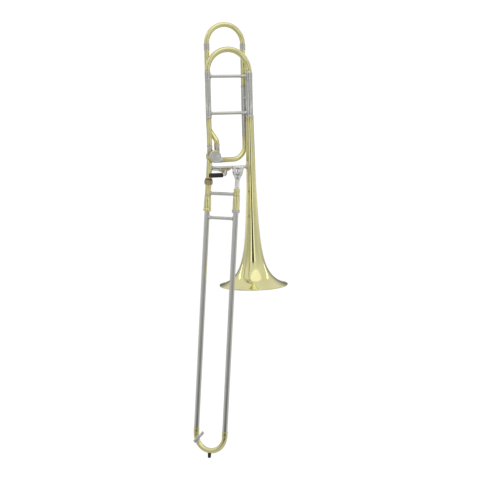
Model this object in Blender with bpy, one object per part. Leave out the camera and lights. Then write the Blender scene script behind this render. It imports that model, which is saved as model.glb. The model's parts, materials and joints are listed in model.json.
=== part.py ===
"""Tenor trombone with an open-wrap rotary F attachment, stood upright with its bell downwards.

The frame: the origin is the centre of the bell's mouth, +Z runs up the bell's axis, +X points
from the neckpipe to the bell, and -Y is the front, where the slide's second tube and the
mouthpiece stand. The bell section hangs together in the XZ plane. The F attachment's slide lies in
a plane behind it, and the slide section has a frame of its own at the neck joint: its local Z
axis is the left slide tube, its local X axis points to the right slide tube.

All sizes are in metres.
"""

from math import asin, cos, pi, radians, sin, sqrt

import bmesh
import bpy
from mathutils import Matrix, Vector

# --- Driving dimensions -------------------------------------------------------------------------

# Bell and main tuning slide
BELL_RADIUS = 0.100
BELL_TOP = 0.488
BELL_THROAT = 0.0056
BELL_FLARE = 0.031
BELL_WALL = 0.0010
LEG_SPACING = 0.1225
SLEEVE_TOP = 0.596
FERRULE_TOP = 0.620
BOW_RADIUS = LEG_SPACING / 2
NECK_TUBE = 0.0073
BELL_TUBE = 0.0088
NECK_SLEEVE = 0.0079
BELL_SLEEVE = 0.0103
UPPER_BRACE_Z = 0.501
LOWER_BRACE_Z = 0.347
TUNING_BRACE_Z = 0.606
BRACE_ROD = 0.0045
LOWER_BRACE_ROD = 0.0042
SLEEVE_WALL = 0.00065

# F attachment
F_PLANE_Y = 0.022
F_LEFT_X = -0.1165
F_RIGHT_X = -0.0090
F_TUBE = 0.0073
F_SLEEVE = 0.0078
F_SLEEVE_TOP = 0.580
F_SLEEVE_LEFT_BOTTOM = 0.470
F_SLEEVE_RIGHT_BOTTOM = 0.434
F_FERRULE_BOTTOM = 0.680
F_BOW_Z = 0.699
F_BEND_RADIUS = 0.042
F_STAY_Z = 0.545

# Rotary valve, its stops and the thumb lever that turns it
ROTOR_Z = 0.380
PORT_OFFSET = 0.0108
PORT_BORE = 0.0064
VALVE_FERRULE = 0.0080
VALVE_FERRULE_FOOT = ROTOR_Z + 0.002
CASING_RADIUS = 0.0178
CASING_HALF = 0.0170
ROTOR_RADIUS = 0.0135
PLATE_RADIUS = 0.0170
STOP_ARM_LENGTH = 0.0110
STOP_ARM_HALF = 0.0030
STOP_ARM_REST = radians(45)
PIVOT_X = -0.0825
PIVOT_Z = 0.3375
LEVER_TRAVEL = radians(22)
SHAFT_RADIUS = 0.0024
PAD_RADIUS = 0.0065
PAD_LENGTH = 0.039
PAD_Y = -0.0208

# Slide section, along the slide's own axis, down from the neck joint
NECK_JOINT = Vector((-0.127, 0.0, 0.3264))
NECKPIPE_TUBE = 0.0079
NECKPIPE_SHOULDER = -0.0075
SLIDE_LEAN = radians(5.5)
SLIDE_TILT = radians(3.0)
SLIDE_SWIVEL = radians(42.8)
SLIDE_SPACING = 0.090
OUTER_TUBE = 0.0075
INNER_TUBE = 0.0068
BARREL_NECK = 0.0087
BARREL_END = 0.102
INNER_BRACE_AT = 0.0505
OUTER_TOP = 0.078
OUTER_BRACE_AT = 0.1195
OUTER_END = 0.734
INNER_END = 0.715
CROOK_AT = 0.741
CROOK_RADIUS = SLIDE_SPACING / 2
CROOK_TUBE = 0.0076
BUMPER_LENGTH = 0.0128
WATER_KEY_AT = radians(26)
WATER_KEY_SLOPE = radians(50)

# Mouthpiece, along the right slide tube's axis
RIM_AT = -0.0283
RIM_RADIUS = 0.0175

# Fits and facets
GAP = 0.0003
BELL_SIDES = 36
TUBE_SIDES = 16
ROD_SIDES = 12
BOW_STEPS = 10
BELL_STEPS = 12

# --- Derived places -----------------------------------------------------------------------------

NECK_X = -LEG_SPACING
ROTOR_X = NECK_X + PORT_OFFSET
ROTOR = Vector((ROTOR_X, 0.0, ROTOR_Z))
F_MID_X = (F_LEFT_X + F_RIGHT_X) / 2
F_BOW_RADIUS = (F_RIGHT_X - F_LEFT_X) / 2
F_RUN_Z = ROTOR_Z - PORT_OFFSET
F_RUN = Vector((F_RIGHT_X - ROTOR_X, F_PLANE_Y, 0.0)).normalized()
ARM_CHORD = 2 * STOP_ARM_LENGTH * sin(STOP_ARM_REST)
REAR_ARM_LENGTH = ARM_CHORD / (2 * sin(LEVER_TRAVEL / 2))
REAR_ARM_END = Vector((-REAR_ARM_LENGTH * cos(LEVER_TRAVEL / 2), 0.0, ARM_CHORD / 2))
STOP_ARM_END = STOP_ARM_LENGTH * Vector((cos(STOP_ARM_REST), 0.0, sin(STOP_ARM_REST)))
STOP_ARM_FRONT = CASING_HALF + 0.0048
STOP_ARM_BACK = STOP_ARM_FRONT + 0.0025
LINK_FRONT = STOP_ARM_BACK + 0.0012
LINK_BACK = LINK_FRONT + 0.0022
ROCKER_FRONT = LINK_FRONT - 0.0038
ROCKER_BACK = LINK_FRONT - 0.0008

SLIDE_FRAME = (
    Matrix.Translation(NECK_JOINT)
    @ Matrix.Rotation(SLIDE_LEAN, 4, "Y")
    @ Matrix.Rotation(-SLIDE_TILT, 4, "X")
    @ Matrix.Rotation(-SLIDE_SWIVEL, 4, "Z")
)
ALONG_X = Matrix.Rotation(pi / 2, 4, "Y")
ALONG_Y = Matrix.Rotation(-pi / 2, 4, "X")

# --- Materials ----------------------------------------------------------------------------------


def make_material(name, colour, roughness, metallic):
    material = bpy.data.materials.new(name)
    material.use_nodes = True
    shader = material.node_tree.nodes["Principled BSDF"]
    shader.inputs["Base Color"].default_value = (*colour, 1.0)
    shader.inputs["Roughness"].default_value = roughness
    shader.inputs["Metallic"].default_value = metallic
    return material


def make_materials():
    return {
        "brass": make_material("lacquered_brass", (0.72, 0.53, 0.20), 0.22, 1.0),
        "nickel": make_material("nickel_silver", (0.62, 0.60, 0.54), 0.25, 1.0),
        "chrome": make_material("chromed_slide", (0.66, 0.66, 0.66), 0.15, 1.0),
        "silver": make_material("silver_plate", (0.86, 0.86, 0.84), 0.12, 1.0),
        "dark_brass": make_material("aged_brass", (0.36, 0.28, 0.14), 0.35, 1.0),
        "rubber": make_material("black_rubber", (0.02, 0.02, 0.02), 0.65, 0.0),
        "cork": make_material("cork", (0.52, 0.36, 0.22), 0.85, 0.0),
    }


# --- Modelling helpers --------------------------------------------------------------------------


def clear_scene():
    for old in list(bpy.data.objects):
        bpy.data.objects.remove(old, do_unlink=True)


def add_frame(name, matrix, parent=None):
    """An empty that stands for a body: its pieces are modelled in its own axes."""
    frame = bpy.data.objects.new(name, None)
    frame.empty_display_size = 0.02
    bpy.context.scene.collection.objects.link(frame)
    frame.parent = parent
    frame.matrix_local = matrix
    return frame


def add_piece(name, mesh_builder, material, frame, matrix=None):
    """Turn a bmesh into a named object on its frame, with outward faces and smooth round sides."""
    bmesh.ops.recalc_face_normals(mesh_builder, faces=mesh_builder.faces)
    mesh = bpy.data.meshes.new(name)
    mesh_builder.to_mesh(mesh)
    mesh_builder.free()
    mesh.materials.append(material)
    mesh.shade_smooth()
    mesh.set_sharp_from_angle(angle=radians(40))
    piece = bpy.data.objects.new(name, mesh)
    bpy.context.scene.collection.objects.link(piece)
    piece.parent = frame
    piece.matrix_local = matrix or Matrix.Identity(4)
    return piece


def combine(piece, operation, mesh_builder, matrix=None):
    """Cut or join a shape, given in the piece's own axes, with a Boolean modifier."""
    index = len(piece.modifiers) + 1
    tool = add_piece(f"{piece.name}_tool_{index}", mesh_builder, piece.data.materials[0], piece, matrix)
    tool.hide_render = True
    tool.display_type = "WIRE"
    modifier = piece.modifiers.new(f"{operation.lower()}_{index}", "BOOLEAN")
    modifier.operation = operation
    modifier.solver = "EXACT"
    modifier.object = tool


def turned(profile, sides):
    """A solid of revolution about Z. The profile is (radius, height) points round the section;
    one that starts and ends on the axis makes a solid without a bore."""
    solid = bmesh.new()
    closed = profile[0][0] > 0.0
    points = [solid.verts.new((radius, 0.0, height)) for radius, height in profile]
    edges = [solid.edges.new(pair) for pair in zip(points, points[1:])]
    if closed:
        edges.append(solid.edges.new((points[-1], points[0])))
    bmesh.ops.spin(
        solid, geom=points + edges, cent=(0, 0, 0), axis=(0, 0, 1), angle=2 * pi, steps=sides
    )
    bmesh.ops.remove_doubles(solid, verts=solid.verts, dist=1e-6)
    return solid


def ring(bottom, top, outer, inner, sides=TUBE_SIDES):
    return turned([(inner, bottom), (outer, bottom), (outer, top), (inner, top)], sides)


def rod(bottom, top, radius, sides=ROD_SIDES):
    return turned([(0.0, bottom), (radius, bottom), (radius, top), (0.0, top)], sides)


def box(low, high):
    low, high = Vector(low), Vector(high)
    block = bmesh.new()
    bmesh.ops.create_cube(block, size=1.0)
    bmesh.ops.scale(block, vec=high - low, verts=block.verts)
    bmesh.ops.translate(block, vec=(low + high) / 2, verts=block.verts)
    return block


def plate(outline, front, back):
    """A flat plate whose outline is (x, z) points and whose thickness runs along Y."""
    slab = bmesh.new()
    face = slab.faces.new([slab.verts.new((x, front, z)) for x, z in outline])
    extruded = bmesh.ops.extrude_face_region(slab, geom=[face])
    moved = [item for item in extruded["geom"] if isinstance(item, bmesh.types.BMVert)]
    bmesh.ops.translate(slab, vec=(0, back - front, 0), verts=moved)
    return slab


def rounded_path(corners, radius, steps):
    """The straight runs between the corners, with each inner corner rounded to an arc."""
    corners = [Vector(corner) for corner in corners]
    path = [corners[0]]
    for before, corner, after in zip(corners, corners[1:], corners[2:]):
        arriving = (corner - before).normalized()
        leaving = (after - corner).normalized()
        turn = arriving.angle(leaving)
        axis = arriving.cross(leaving).normalized()
        start = corner - arriving * radius * sin(turn / 2) / cos(turn / 2)
        centre = start + axis.cross(arriving) * radius
        for step in range(steps + 1):
            path.append(centre + Matrix.Rotation(turn * step / steps, 3, axis) @ (start - centre))
    path.append(corners[-1])
    return path


def half_circle_path(left, right, leg, direction, steps):
    """A U from left to right: a straight leg, a half circle towards direction, and a leg back."""
    left, right, direction = Vector(left), Vector(right), Vector(direction)
    centre = (left + right) / 2
    across = (left - right) / 2
    reach = direction * across.length
    arc = [centre + across * cos(pi * i / steps) + reach * sin(pi * i / steps) for i in range(steps + 1)]
    return [left - direction * leg] + arc + [right - direction * leg]


def bent_tube(path, outer, inner, normal, sides=TUBE_SIDES):
    """A tube along a path that lies in one plane. outer and inner give the radii at the path's
    start and end, and change evenly between them."""
    normal = Vector(normal).normalized()
    tube = bmesh.new()
    rings = []
    for index, point in enumerate(path):
        before = path[max(index - 1, 0)]
        after = path[min(index + 1, len(path) - 1)]
        tangent = (after - before).normalized()
        sideways = tangent.cross(normal)
        share = index / (len(path) - 1)
        layers = []
        for start, end in (outer, inner):
            radius = start + (end - start) * share
            turn = [2 * pi * side / sides for side in range(sides)]
            spots = [point + radius * (cos(angle) * normal + sin(angle) * sideways) for angle in turn]
            layers.append([tube.verts.new(spot) for spot in spots])
        rings.append(layers)
    for side in range(sides):
        following = (side + 1) % sides
        for first, second in zip(rings, rings[1:]):
            for layer in (0, 1):
                quad = (first[layer][side], first[layer][following])
                tube.faces.new(quad + (second[layer][following], second[layer][side]))
        for end in (rings[0], rings[-1]):
            tube.faces.new((end[0][side], end[0][following], end[1][following], end[1][side]))
    return tube


def add_brace(name, start, end, material, frame, saddles, rod_radius=BRACE_ROD, flange=0.0070):
    """A round stay between two tubes, flared into a flange at each end. saddles gives, for each
    end, the radius of the tube it is soldered to and that tube's direction; start and end lie on
    the tubes' axes, and each flange is cut to sit on its tube."""
    start, end = Vector(start), Vector(end)
    length = (end - start).length
    near = saddles[0][0] + 0.0015
    far = length - saddles[1][0] - 0.0015
    flare = min(0.0035, (far - near) / 3)
    profile = [
        (0.0, saddles[0][0] * 0.55),
        (flange, saddles[0][0] * 0.55),
        (flange, near),
        (rod_radius, near + flare),
        (rod_radius, far - flare),
        (flange, far),
        (flange, length - saddles[1][0] * 0.55),
        (0.0, length - saddles[1][0] * 0.55),
    ]
    turn = Vector((0, 0, 1)).rotation_difference(end - start).to_matrix().to_4x4()
    placed = Matrix.Translation(start) @ turn
    piece = add_piece(name, turned(profile, ROD_SIDES), material, frame, placed)
    for height, (radius, direction) in zip((0.0, length), saddles):
        local = turn.to_3x3().inverted() @ Vector(direction)
        tilt = Vector((0, 0, 1)).rotation_difference(local).to_matrix().to_4x4()
        cutter = rod(-0.03, 0.03, radius + GAP, 24)
        combine(piece, "DIFFERENCE", cutter, Matrix.Translation((0, 0, height)) @ tilt)
    return piece


# --- Bell section -------------------------------------------------------------------------------


def flare_radius(height):
    """The bell's outer radius: a hyperbola that opens from the throat to the full mouth."""
    return BELL_THROAT + (BELL_RADIUS - BELL_THROAT) * BELL_FLARE / (height + BELL_FLARE)


def flare_height(radius):
    return (BELL_RADIUS - BELL_THROAT) * BELL_FLARE / (radius - BELL_THROAT) - BELL_FLARE


def make_bell(material, frame):
    rim_width = 0.0024
    rim_height = 0.0036
    lift = 0.0012
    sheet_edge = BELL_RADIUS - rim_width - GAP
    low = flare_height(sheet_edge)
    high = BELL_TOP - lift
    ratio = ((high + BELL_FLARE) / (low + BELL_FLARE)) ** (1 / BELL_STEPS)
    heights = [(low + BELL_FLARE) * ratio**step - BELL_FLARE for step in range(BELL_STEPS + 1)]
    outside = []
    inside = []
    for height in heights:
        radius = flare_radius(height)
        slope = (BELL_RADIUS - BELL_THROAT) * BELL_FLARE / (height + BELL_FLARE) ** 2
        length = sqrt(1 + slope**2)
        outside.append((radius, height + lift))
        inside.append((radius - BELL_WALL / length, height + lift - BELL_WALL * slope / length))
    top_bore = inside[-1][0]
    inside[-1] = (top_bore, BELL_TOP)
    add_piece("bell", turned(outside + inside[::-1], BELL_SIDES), material, frame)

    inner = BELL_RADIUS - rim_width
    bevel = 0.0004
    section = [
        (inner, 0.0),
        (BELL_RADIUS - bevel, 0.0),
        (BELL_RADIUS, bevel),
        (BELL_RADIUS, rim_height - bevel),
        (BELL_RADIUS - bevel, rim_height),
        (inner, rim_height),
    ]
    add_piece("bell_rim", turned(section, BELL_SIDES), material, frame)


def make_sleeve(name, x, radius, collar, material, frame):
    """An outer tuning-slide sleeve with a collar at its foot, where the tube below is soldered."""
    bore = radius - SLEEVE_WALL
    foot = BELL_TOP + GAP
    profile = [
        (bore, foot),
        (collar, foot),
        (collar, foot + 0.0055),
        (radius, foot + 0.0065),
        (radius, SLEEVE_TOP),
        (bore, SLEEVE_TOP),
    ]
    add_piece(name, turned(profile, TUBE_SIDES + 4), material, frame, Matrix.Translation((x, 0, 0)))


def casing_tool():
    """The casing's outside, a gap larger, in world axes: what is soldered to it is cut with it."""
    tool = rod(-CASING_HALF - 0.004, CASING_HALF + 0.004, CASING_RADIUS + GAP, 32)
    bmesh.ops.transform(tool, matrix=Matrix.Translation(ROTOR) @ ALONG_Y, verts=tool.verts)
    return tool


def make_main_tubes(materials, frame):
    gooseneck_foot = 0.411
    tube = ring(gooseneck_foot + GAP, BELL_TOP, NECK_TUBE, PORT_BORE)
    add_piece("gooseneck", tube, materials["brass"], frame, Matrix.Translation((NECK_X, 0, 0)))

    ferrule = ring(VALVE_FERRULE_FOOT, gooseneck_foot, VALVE_FERRULE, PORT_BORE)
    bmesh.ops.translate(ferrule, vec=(NECK_X, 0, 0), verts=ferrule.verts)
    piece = add_piece("gooseneck_ferrule", ferrule, materials["nickel"], frame)
    combine(piece, "DIFFERENCE", casing_tool())

    # The neckpipe runs down the slide's axis, and its lower half is the tenon of the neck joint.
    bore = 0.0063
    tenon = 0.0070
    tenon_end = -0.0585
    head = 0.0475
    profile = [
        (bore, tenon_end),
        (tenon, tenon_end),
        (tenon, NECKPIPE_SHOULDER),
        (NECKPIPE_TUBE, NECKPIPE_SHOULDER),
        (NECKPIPE_TUBE, head),
        (bore, head),
    ]
    pipe = turned(profile, TUBE_SIDES + 4)
    bmesh.ops.transform(pipe, matrix=SLIDE_FRAME, verts=pipe.verts)
    piece = add_piece("neckpipe", pipe, materials["brass"], frame)
    combine(piece, "DIFFERENCE", casing_tool())


def make_braces(materials, frame):
    up = (0, 0, 1)
    add_brace(
        "upper_brace",
        (NECK_X, 0, UPPER_BRACE_Z + 0.001),
        (0, 0, UPPER_BRACE_Z + 0.001),
        materials["nickel"],
        frame,
        [(NECK_SLEEVE, up), (BELL_SLEEVE, up)],
        flange=0.0058,
    )
    slide_axis = SLIDE_FRAME.to_3x3() @ Vector(up)
    neck_point = NECK_JOINT + slide_axis * ((LOWER_BRACE_Z - NECK_JOINT.z) / slide_axis.z)
    add_brace(
        "lower_brace",
        neck_point,
        (0, 0, LOWER_BRACE_Z),
        materials["nickel"],
        frame,
        [(NECKPIPE_TUBE, slide_axis), (flare_radius(LOWER_BRACE_Z - 0.009), up)],
        rod_radius=LOWER_BRACE_ROD,
    )
    for side, sleeve_x, radius, f_x in (
        ("left", NECK_X, NECK_SLEEVE, F_LEFT_X),
        ("right", 0.0, BELL_SLEEVE, F_RIGHT_X),
    ):
        add_brace(
            f"f_stay_{side}",
            (sleeve_x, 0, F_STAY_Z),
            (f_x, F_PLANE_Y, F_STAY_Z),
            materials["nickel"],
            frame,
            [(radius, up), (F_SLEEVE, up)],
            rod_radius=0.0035,
            flange=0.0050,
        )


# --- F attachment -------------------------------------------------------------------------------


def make_f_tubes(materials, frame):
    port_x = ROTOR_X + PORT_OFFSET
    port_top = 0.414
    ferrule = ring(VALVE_FERRULE_FOOT, port_top, VALVE_FERRULE, PORT_BORE)
    bmesh.ops.translate(ferrule, vec=(port_x, 0, 0), verts=ferrule.verts)
    piece = add_piece("f_port_ferrule", ferrule, materials["nickel"], frame)
    combine(piece, "DIFFERENCE", casing_tool())

    corners = [
        (port_x, 0, port_top + GAP),
        (port_x, 0, 0.424),
        (F_LEFT_X, F_PLANE_Y, 0.458),
        (F_LEFT_X, F_PLANE_Y, F_SLEEVE_LEFT_BOTTOM - GAP),
    ]
    across = Vector((F_LEFT_X - port_x, F_PLANE_Y, 0)).cross(Vector((0, 0, 1)))
    riser = bent_tube(
        rounded_path(corners, 0.016, 4), (F_TUBE, F_TUBE), (PORT_BORE, PORT_BORE), across
    )
    add_piece("f_riser", riser, materials["brass"], frame)

    for side, x, bottom in (
        ("left", F_LEFT_X, F_SLEEVE_LEFT_BOTTOM),
        ("right", F_RIGHT_X, F_SLEEVE_RIGHT_BOTTOM),
    ):
        sleeve = ring(bottom, F_SLEEVE_TOP, F_SLEEVE, F_SLEEVE - SLEEVE_WALL)
        place = Matrix.Translation((x, F_PLANE_Y, 0))
        add_piece(f"f_sleeve_{side}", sleeve, materials["nickel"], frame, place)

    ferrule_end = 0.028
    run_start = ROTOR + F_RUN * (ferrule_end + GAP)
    corners = [
        (F_RIGHT_X, F_PLANE_Y, F_SLEEVE_RIGHT_BOTTOM - GAP),
        (F_RIGHT_X, F_PLANE_Y, F_RUN_Z),
        (run_start.x, run_start.y, F_RUN_Z),
    ]
    bend = bent_tube(
        rounded_path(corners, F_BEND_RADIUS, 8),
        (F_TUBE, F_TUBE),
        (PORT_BORE, PORT_BORE),
        F_RUN.cross(Vector((0, 0, 1))),
    )
    add_piece("f_lower_bend", bend, materials["brass"], frame)

    ferrule = ring(0.002, ferrule_end, VALVE_FERRULE, PORT_BORE)
    turn = Vector((0, 0, 1)).rotation_difference(F_RUN).to_matrix().to_4x4()
    place = Matrix.Translation((ROTOR_X, 0, F_RUN_Z)) @ turn
    bmesh.ops.transform(ferrule, matrix=place, verts=ferrule.verts)
    piece = add_piece("f_run_ferrule", ferrule, materials["nickel"], frame)
    combine(piece, "DIFFERENCE", casing_tool())


# --- Rotary valve -------------------------------------------------------------------------------


def make_valve_casing(materials, frame):
    bore = ROTOR_RADIUS + GAP
    casing = ring(-CASING_HALF, CASING_HALF, CASING_RADIUS, bore, 32)
    bmesh.ops.transform(casing, matrix=Matrix.Translation(ROTOR) @ ALONG_Y, verts=casing.verts)
    piece = add_piece("rotor_casing", casing, materials["brass"], frame)
    reach = CASING_RADIUS + 0.004
    for x in (NECK_X, ROTOR_X + PORT_OFFSET):
        port = rod(ROTOR_Z, ROTOR_Z + reach, PORT_BORE, TUBE_SIDES)
        combine(piece, "DIFFERENCE", port, Matrix.Translation((x, 0, 0)))
    down_pipe = rod(0.022, 0.052, PORT_BORE, TUBE_SIDES)
    combine(piece, "DIFFERENCE", down_pipe, SLIDE_FRAME)
    turn = Vector((0, 0, 1)).rotation_difference(F_RUN).to_matrix().to_4x4()
    run = rod(0.0, reach, PORT_BORE, TUBE_SIDES)
    combine(piece, "DIFFERENCE", run, Matrix.Translation((ROTOR_X, 0, F_RUN_Z)) @ turn)

    thickness = 0.0036
    profile = [
        (0.0, -CASING_HALF - GAP),
        (PLATE_RADIUS, -CASING_HALF - GAP),
        (PLATE_RADIUS, -CASING_HALF - GAP - thickness + 0.001),
        (PLATE_RADIUS - 0.0013, -CASING_HALF - GAP - thickness),
        (0.0, -CASING_HALF - GAP - thickness),
    ]
    place = Matrix.Translation(ROTOR) @ ALONG_Y
    add_piece("rotor_cap", turned(profile, 28), materials["nickel"], frame, place)

    plate_front = CASING_HALF + GAP
    bearing = ring(plate_front, plate_front + 0.0027, PLATE_RADIUS, 0.0033, 28)
    add_piece("bearing_plate", bearing, materials["nickel"], frame, place)

    # Each bumper stands where the side of the stop arm meets it at one end of the quarter turn.
    bumper = 0.0028
    bumper_distance = 0.0125
    lead = asin((bumper + STOP_ARM_HALF + GAP) / bumper_distance)
    for name, angle in (
        ("stop_bumper_rest", STOP_ARM_REST + lead),
        ("stop_bumper_open", -STOP_ARM_REST - lead),
    ):
        post = rod(plate_front + 0.0027 + GAP, STOP_ARM_BACK, bumper)
        spot = ROTOR + Vector((bumper_distance * cos(angle), 0, bumper_distance * sin(angle)))
        add_piece(name, post, materials["cork"], frame, Matrix.Translation(spot) @ ALONG_Y)


def make_rotor(materials, frame):
    """The plug with its two side passages and the spindle, and the stop arm on the spindle."""
    spindle = 0.0030
    profile = [
        (0.0, -0.0165),
        (spindle, -0.0165),
        (spindle, -0.0150),
        (ROTOR_RADIUS, -0.0150),
        (ROTOR_RADIUS, 0.0150),
        (spindle, 0.0150),
        (spindle, STOP_ARM_BACK),
        (0.0, STOP_ARM_BACK),
    ]
    plug = turned(profile, 28)
    bmesh.ops.transform(plug, matrix=ALONG_Y, verts=plug.verts)
    piece = add_piece("rotor_core", plug, materials["dark_brass"], frame)
    for side in (-1, 1):
        passage = rod(-0.016, 0.016, PORT_BORE, TUBE_SIDES)
        combine(piece, "DIFFERENCE", passage, Matrix.Translation((side * PORT_OFFSET, 0, 0)))

    arm = turned(
        [
            (spindle + GAP, STOP_ARM_FRONT),
            (0.0060, STOP_ARM_FRONT),
            (0.0060, STOP_ARM_BACK),
            (spindle + GAP, STOP_ARM_BACK),
        ],
        TUBE_SIDES,
    )
    bmesh.ops.transform(arm, matrix=ALONG_Y, verts=arm.verts)
    piece = add_piece("stop_arm", arm, materials["nickel"], frame)
    tilt = Matrix.Rotation(-STOP_ARM_REST, 4, "Y")
    bar = box(
        (0.0050, STOP_ARM_FRONT, -STOP_ARM_HALF), (STOP_ARM_LENGTH, STOP_ARM_BACK, STOP_ARM_HALF)
    )
    combine(piece, "UNION", bar, tilt)
    pin = rod(STOP_ARM_FRONT, LINK_FRONT - 0.0006, STOP_ARM_HALF)
    combine(piece, "UNION", pin, Matrix.Translation(STOP_ARM_END) @ ALONG_Y)


# --- Thumb lever --------------------------------------------------------------------------------


def make_trigger_bracket(materials, frame):
    """The foot soldered under the lower brace, which the lever's shaft turns in, and the return
    spring round the shaft behind it."""
    top = LOWER_BRACE_Z - LOWER_BRACE_ROD - GAP
    outline = [
        (PIVOT_X - 0.0055, top),
        (PIVOT_X - 0.0055, PIVOT_Z - 0.0035),
        (PIVOT_X - 0.0030, PIVOT_Z - 0.0055),
        (PIVOT_X + 0.0030, PIVOT_Z - 0.0055),
        (PIVOT_X + 0.0070, PIVOT_Z - 0.0015),
        (PIVOT_X + 0.0200, top - 0.0018),
        (PIVOT_X + 0.0200, top),
    ]
    back = 0.0075
    foot = plate(outline, -0.0065, back)
    piece = add_piece("trigger_bracket", foot, materials["dark_brass"], frame)
    bore = rod(-0.012, 0.012, 0.0028, TUBE_SIDES)
    place = Matrix.Translation((PIVOT_X, 0, PIVOT_Z)) @ ALONG_Y
    combine(piece, "DIFFERENCE", bore, place)
    coil = ring(back + GAP, ROCKER_FRONT - GAP, 0.0042, SHAFT_RADIUS + GAP, ROD_SIDES)
    add_piece("trigger_spring", coil, materials["chrome"], frame, place)


def make_trigger(materials, frame):
    """The lever, modelled about its shaft: the front arm with the thumb pad, and the rear rocker
    that pushes the link."""
    arm_front = PAD_Y - 0.0020
    arm_back = PAD_Y + 0.0060
    axle = turned(
        [
            (0.0, arm_back + GAP),
            (SHAFT_RADIUS, arm_back + GAP),
            (SHAFT_RADIUS, ROCKER_FRONT + 0.0010),
            (0.0, ROCKER_FRONT + 0.0010),
        ],
        ROD_SIDES,
    )
    bmesh.ops.transform(axle, matrix=ALONG_Y, verts=axle.verts)
    piece = add_piece("trigger_rocker", axle, materials["nickel"], frame)
    half = 0.0030
    tip = REAR_ARM_END
    along = tip.normalized()
    across = Vector((-along.z, 0, along.x))
    outline = [
        (along.x * -0.004 + across.x * half, along.z * -0.004 + across.z * half),
        (along.x * -0.004 - across.x * half, along.z * -0.004 - across.z * half),
        (tip.x + along.x * 0.003 - across.x * half, tip.z + along.z * 0.003 - across.z * half),
        (tip.x + along.x * 0.003 + across.x * half, tip.z + along.z * 0.003 + across.z * half),
    ]
    combine(piece, "UNION", plate(outline, ROCKER_FRONT, ROCKER_BACK))

    pad_right = -0.0085
    drop = 0.0105
    outline = [
        (-0.0035, 0.0035),
        (-0.0040, -0.0060),
        (pad_right, -drop + 0.0035),
        (pad_right, -drop - 0.0035),
        (-0.0020, -drop - 0.0035),
        (0.0025, -drop + 0.0010),
        (0.0040, -0.0010),
        (0.0030, 0.0035),
    ]
    arm = plate(outline, arm_front, arm_back)
    add_piece("trigger_arm", arm, materials["nickel"], frame)

    end = 0.0015
    profile = [
        (0.0, 0.0),
        (PAD_RADIUS - end, 0.0),
        (PAD_RADIUS, end),
        (PAD_RADIUS, PAD_LENGTH - end),
        (PAD_RADIUS - end, PAD_LENGTH),
        (0.0, PAD_LENGTH),
    ]
    left_end = pad_right - GAP - PAD_LENGTH
    place = Matrix.Translation((left_end, PAD_Y, -drop)) @ ALONG_X
    add_piece("thumb_pad", turned(profile, TUBE_SIDES), materials["rubber"], frame, place)


def make_link(materials, frame):
    """The rod between the rocker and the stop arm, modelled about its lower pivot."""
    eye = 0.0032
    lower = Vector((PIVOT_X, 0, PIVOT_Z)) + REAR_ARM_END
    upper = ROTOR + STOP_ARM_END
    span = upper - lower
    eye_profile = [(0.0, LINK_FRONT), (eye, LINK_FRONT), (eye, LINK_BACK), (0.0, LINK_BACK)]
    first = turned(eye_profile, ROD_SIDES)
    bmesh.ops.transform(first, matrix=ALONG_Y, verts=first.verts)
    piece = add_piece("link_rod", first, materials["nickel"], frame)
    combine(piece, "UNION", turned(eye_profile, ROD_SIDES), Matrix.Translation(span) @ ALONG_Y)
    turn = Vector((0, 0, 1)).rotation_difference(span).to_matrix().to_4x4()
    shank = rod(0.001, span.length - 0.001, 0.0010, 8)
    centre = Matrix.Translation((0, (LINK_FRONT + LINK_BACK) / 2, 0))
    combine(piece, "UNION", shank, centre @ turn)


# --- Main tuning slide and F slide --------------------------------------------------------------


def make_tuning_slide(materials, frame):
    """Modelled about the middle of its two legs, level with the tops of the outer sleeves."""
    left = (-BOW_RADIUS, 0, FERRULE_TOP - SLEEVE_TOP)
    right = (BOW_RADIUS, 0, FERRULE_TOP - SLEEVE_TOP)
    seat = 0.0030
    path = half_circle_path(left, right, seat, (0, 0, 1), BOW_STEPS + 2)
    wall = 0.0007
    bow = bent_tube(
        path, (NECK_TUBE, BELL_TUBE), (NECK_TUBE - wall, BELL_TUBE - wall), (0, 1, 0)
    )
    add_piece("tuning_bow", bow, materials["brass"], frame)

    leg_length = 0.088
    leg_top = FERRULE_TOP - SLEEVE_TOP - seat - GAP
    for side, x, sleeve, tube in (
        ("neck", -BOW_RADIUS, NECK_SLEEVE, NECK_TUBE),
        ("bell", BOW_RADIUS, BELL_SLEEVE, BELL_TUBE),
    ):
        leg_radius = sleeve - SLEEVE_WALL - GAP
        place = Matrix.Translation((x, 0, 0))
        leg = ring(-leg_length, leg_top, leg_radius, leg_radius - 0.0005)
        add_piece(f"tuning_leg_{side}", leg, materials["nickel"], frame, place)
        profile = [
            (leg_radius + GAP, GAP),
            (sleeve + 0.0006, GAP),
            (sleeve + 0.0006, FERRULE_TOP - SLEEVE_TOP - 0.002),
            (tube + 0.0009, FERRULE_TOP - SLEEVE_TOP),
            (tube + GAP, FERRULE_TOP - SLEEVE_TOP),
            (tube + GAP, leg_top + GAP),
            (leg_radius + GAP, leg_top + GAP),
        ]
        ferrule = turned(profile, TUBE_SIDES + 4)
        add_piece(f"tuning_ferrule_{side}", ferrule, materials["nickel"], frame, place)

    height = TUNING_BRACE_Z - SLEEVE_TOP
    up = (0, 0, 1)
    add_brace(
        "tuning_brace",
        (-BOW_RADIUS, 0, height),
        (BOW_RADIUS, 0, height),
        materials["nickel"],
        frame,
        [(NECK_SLEEVE + 0.0006, up), (BELL_SLEEVE + 0.0006, up)],
        flange=0.0062,
    )


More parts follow.
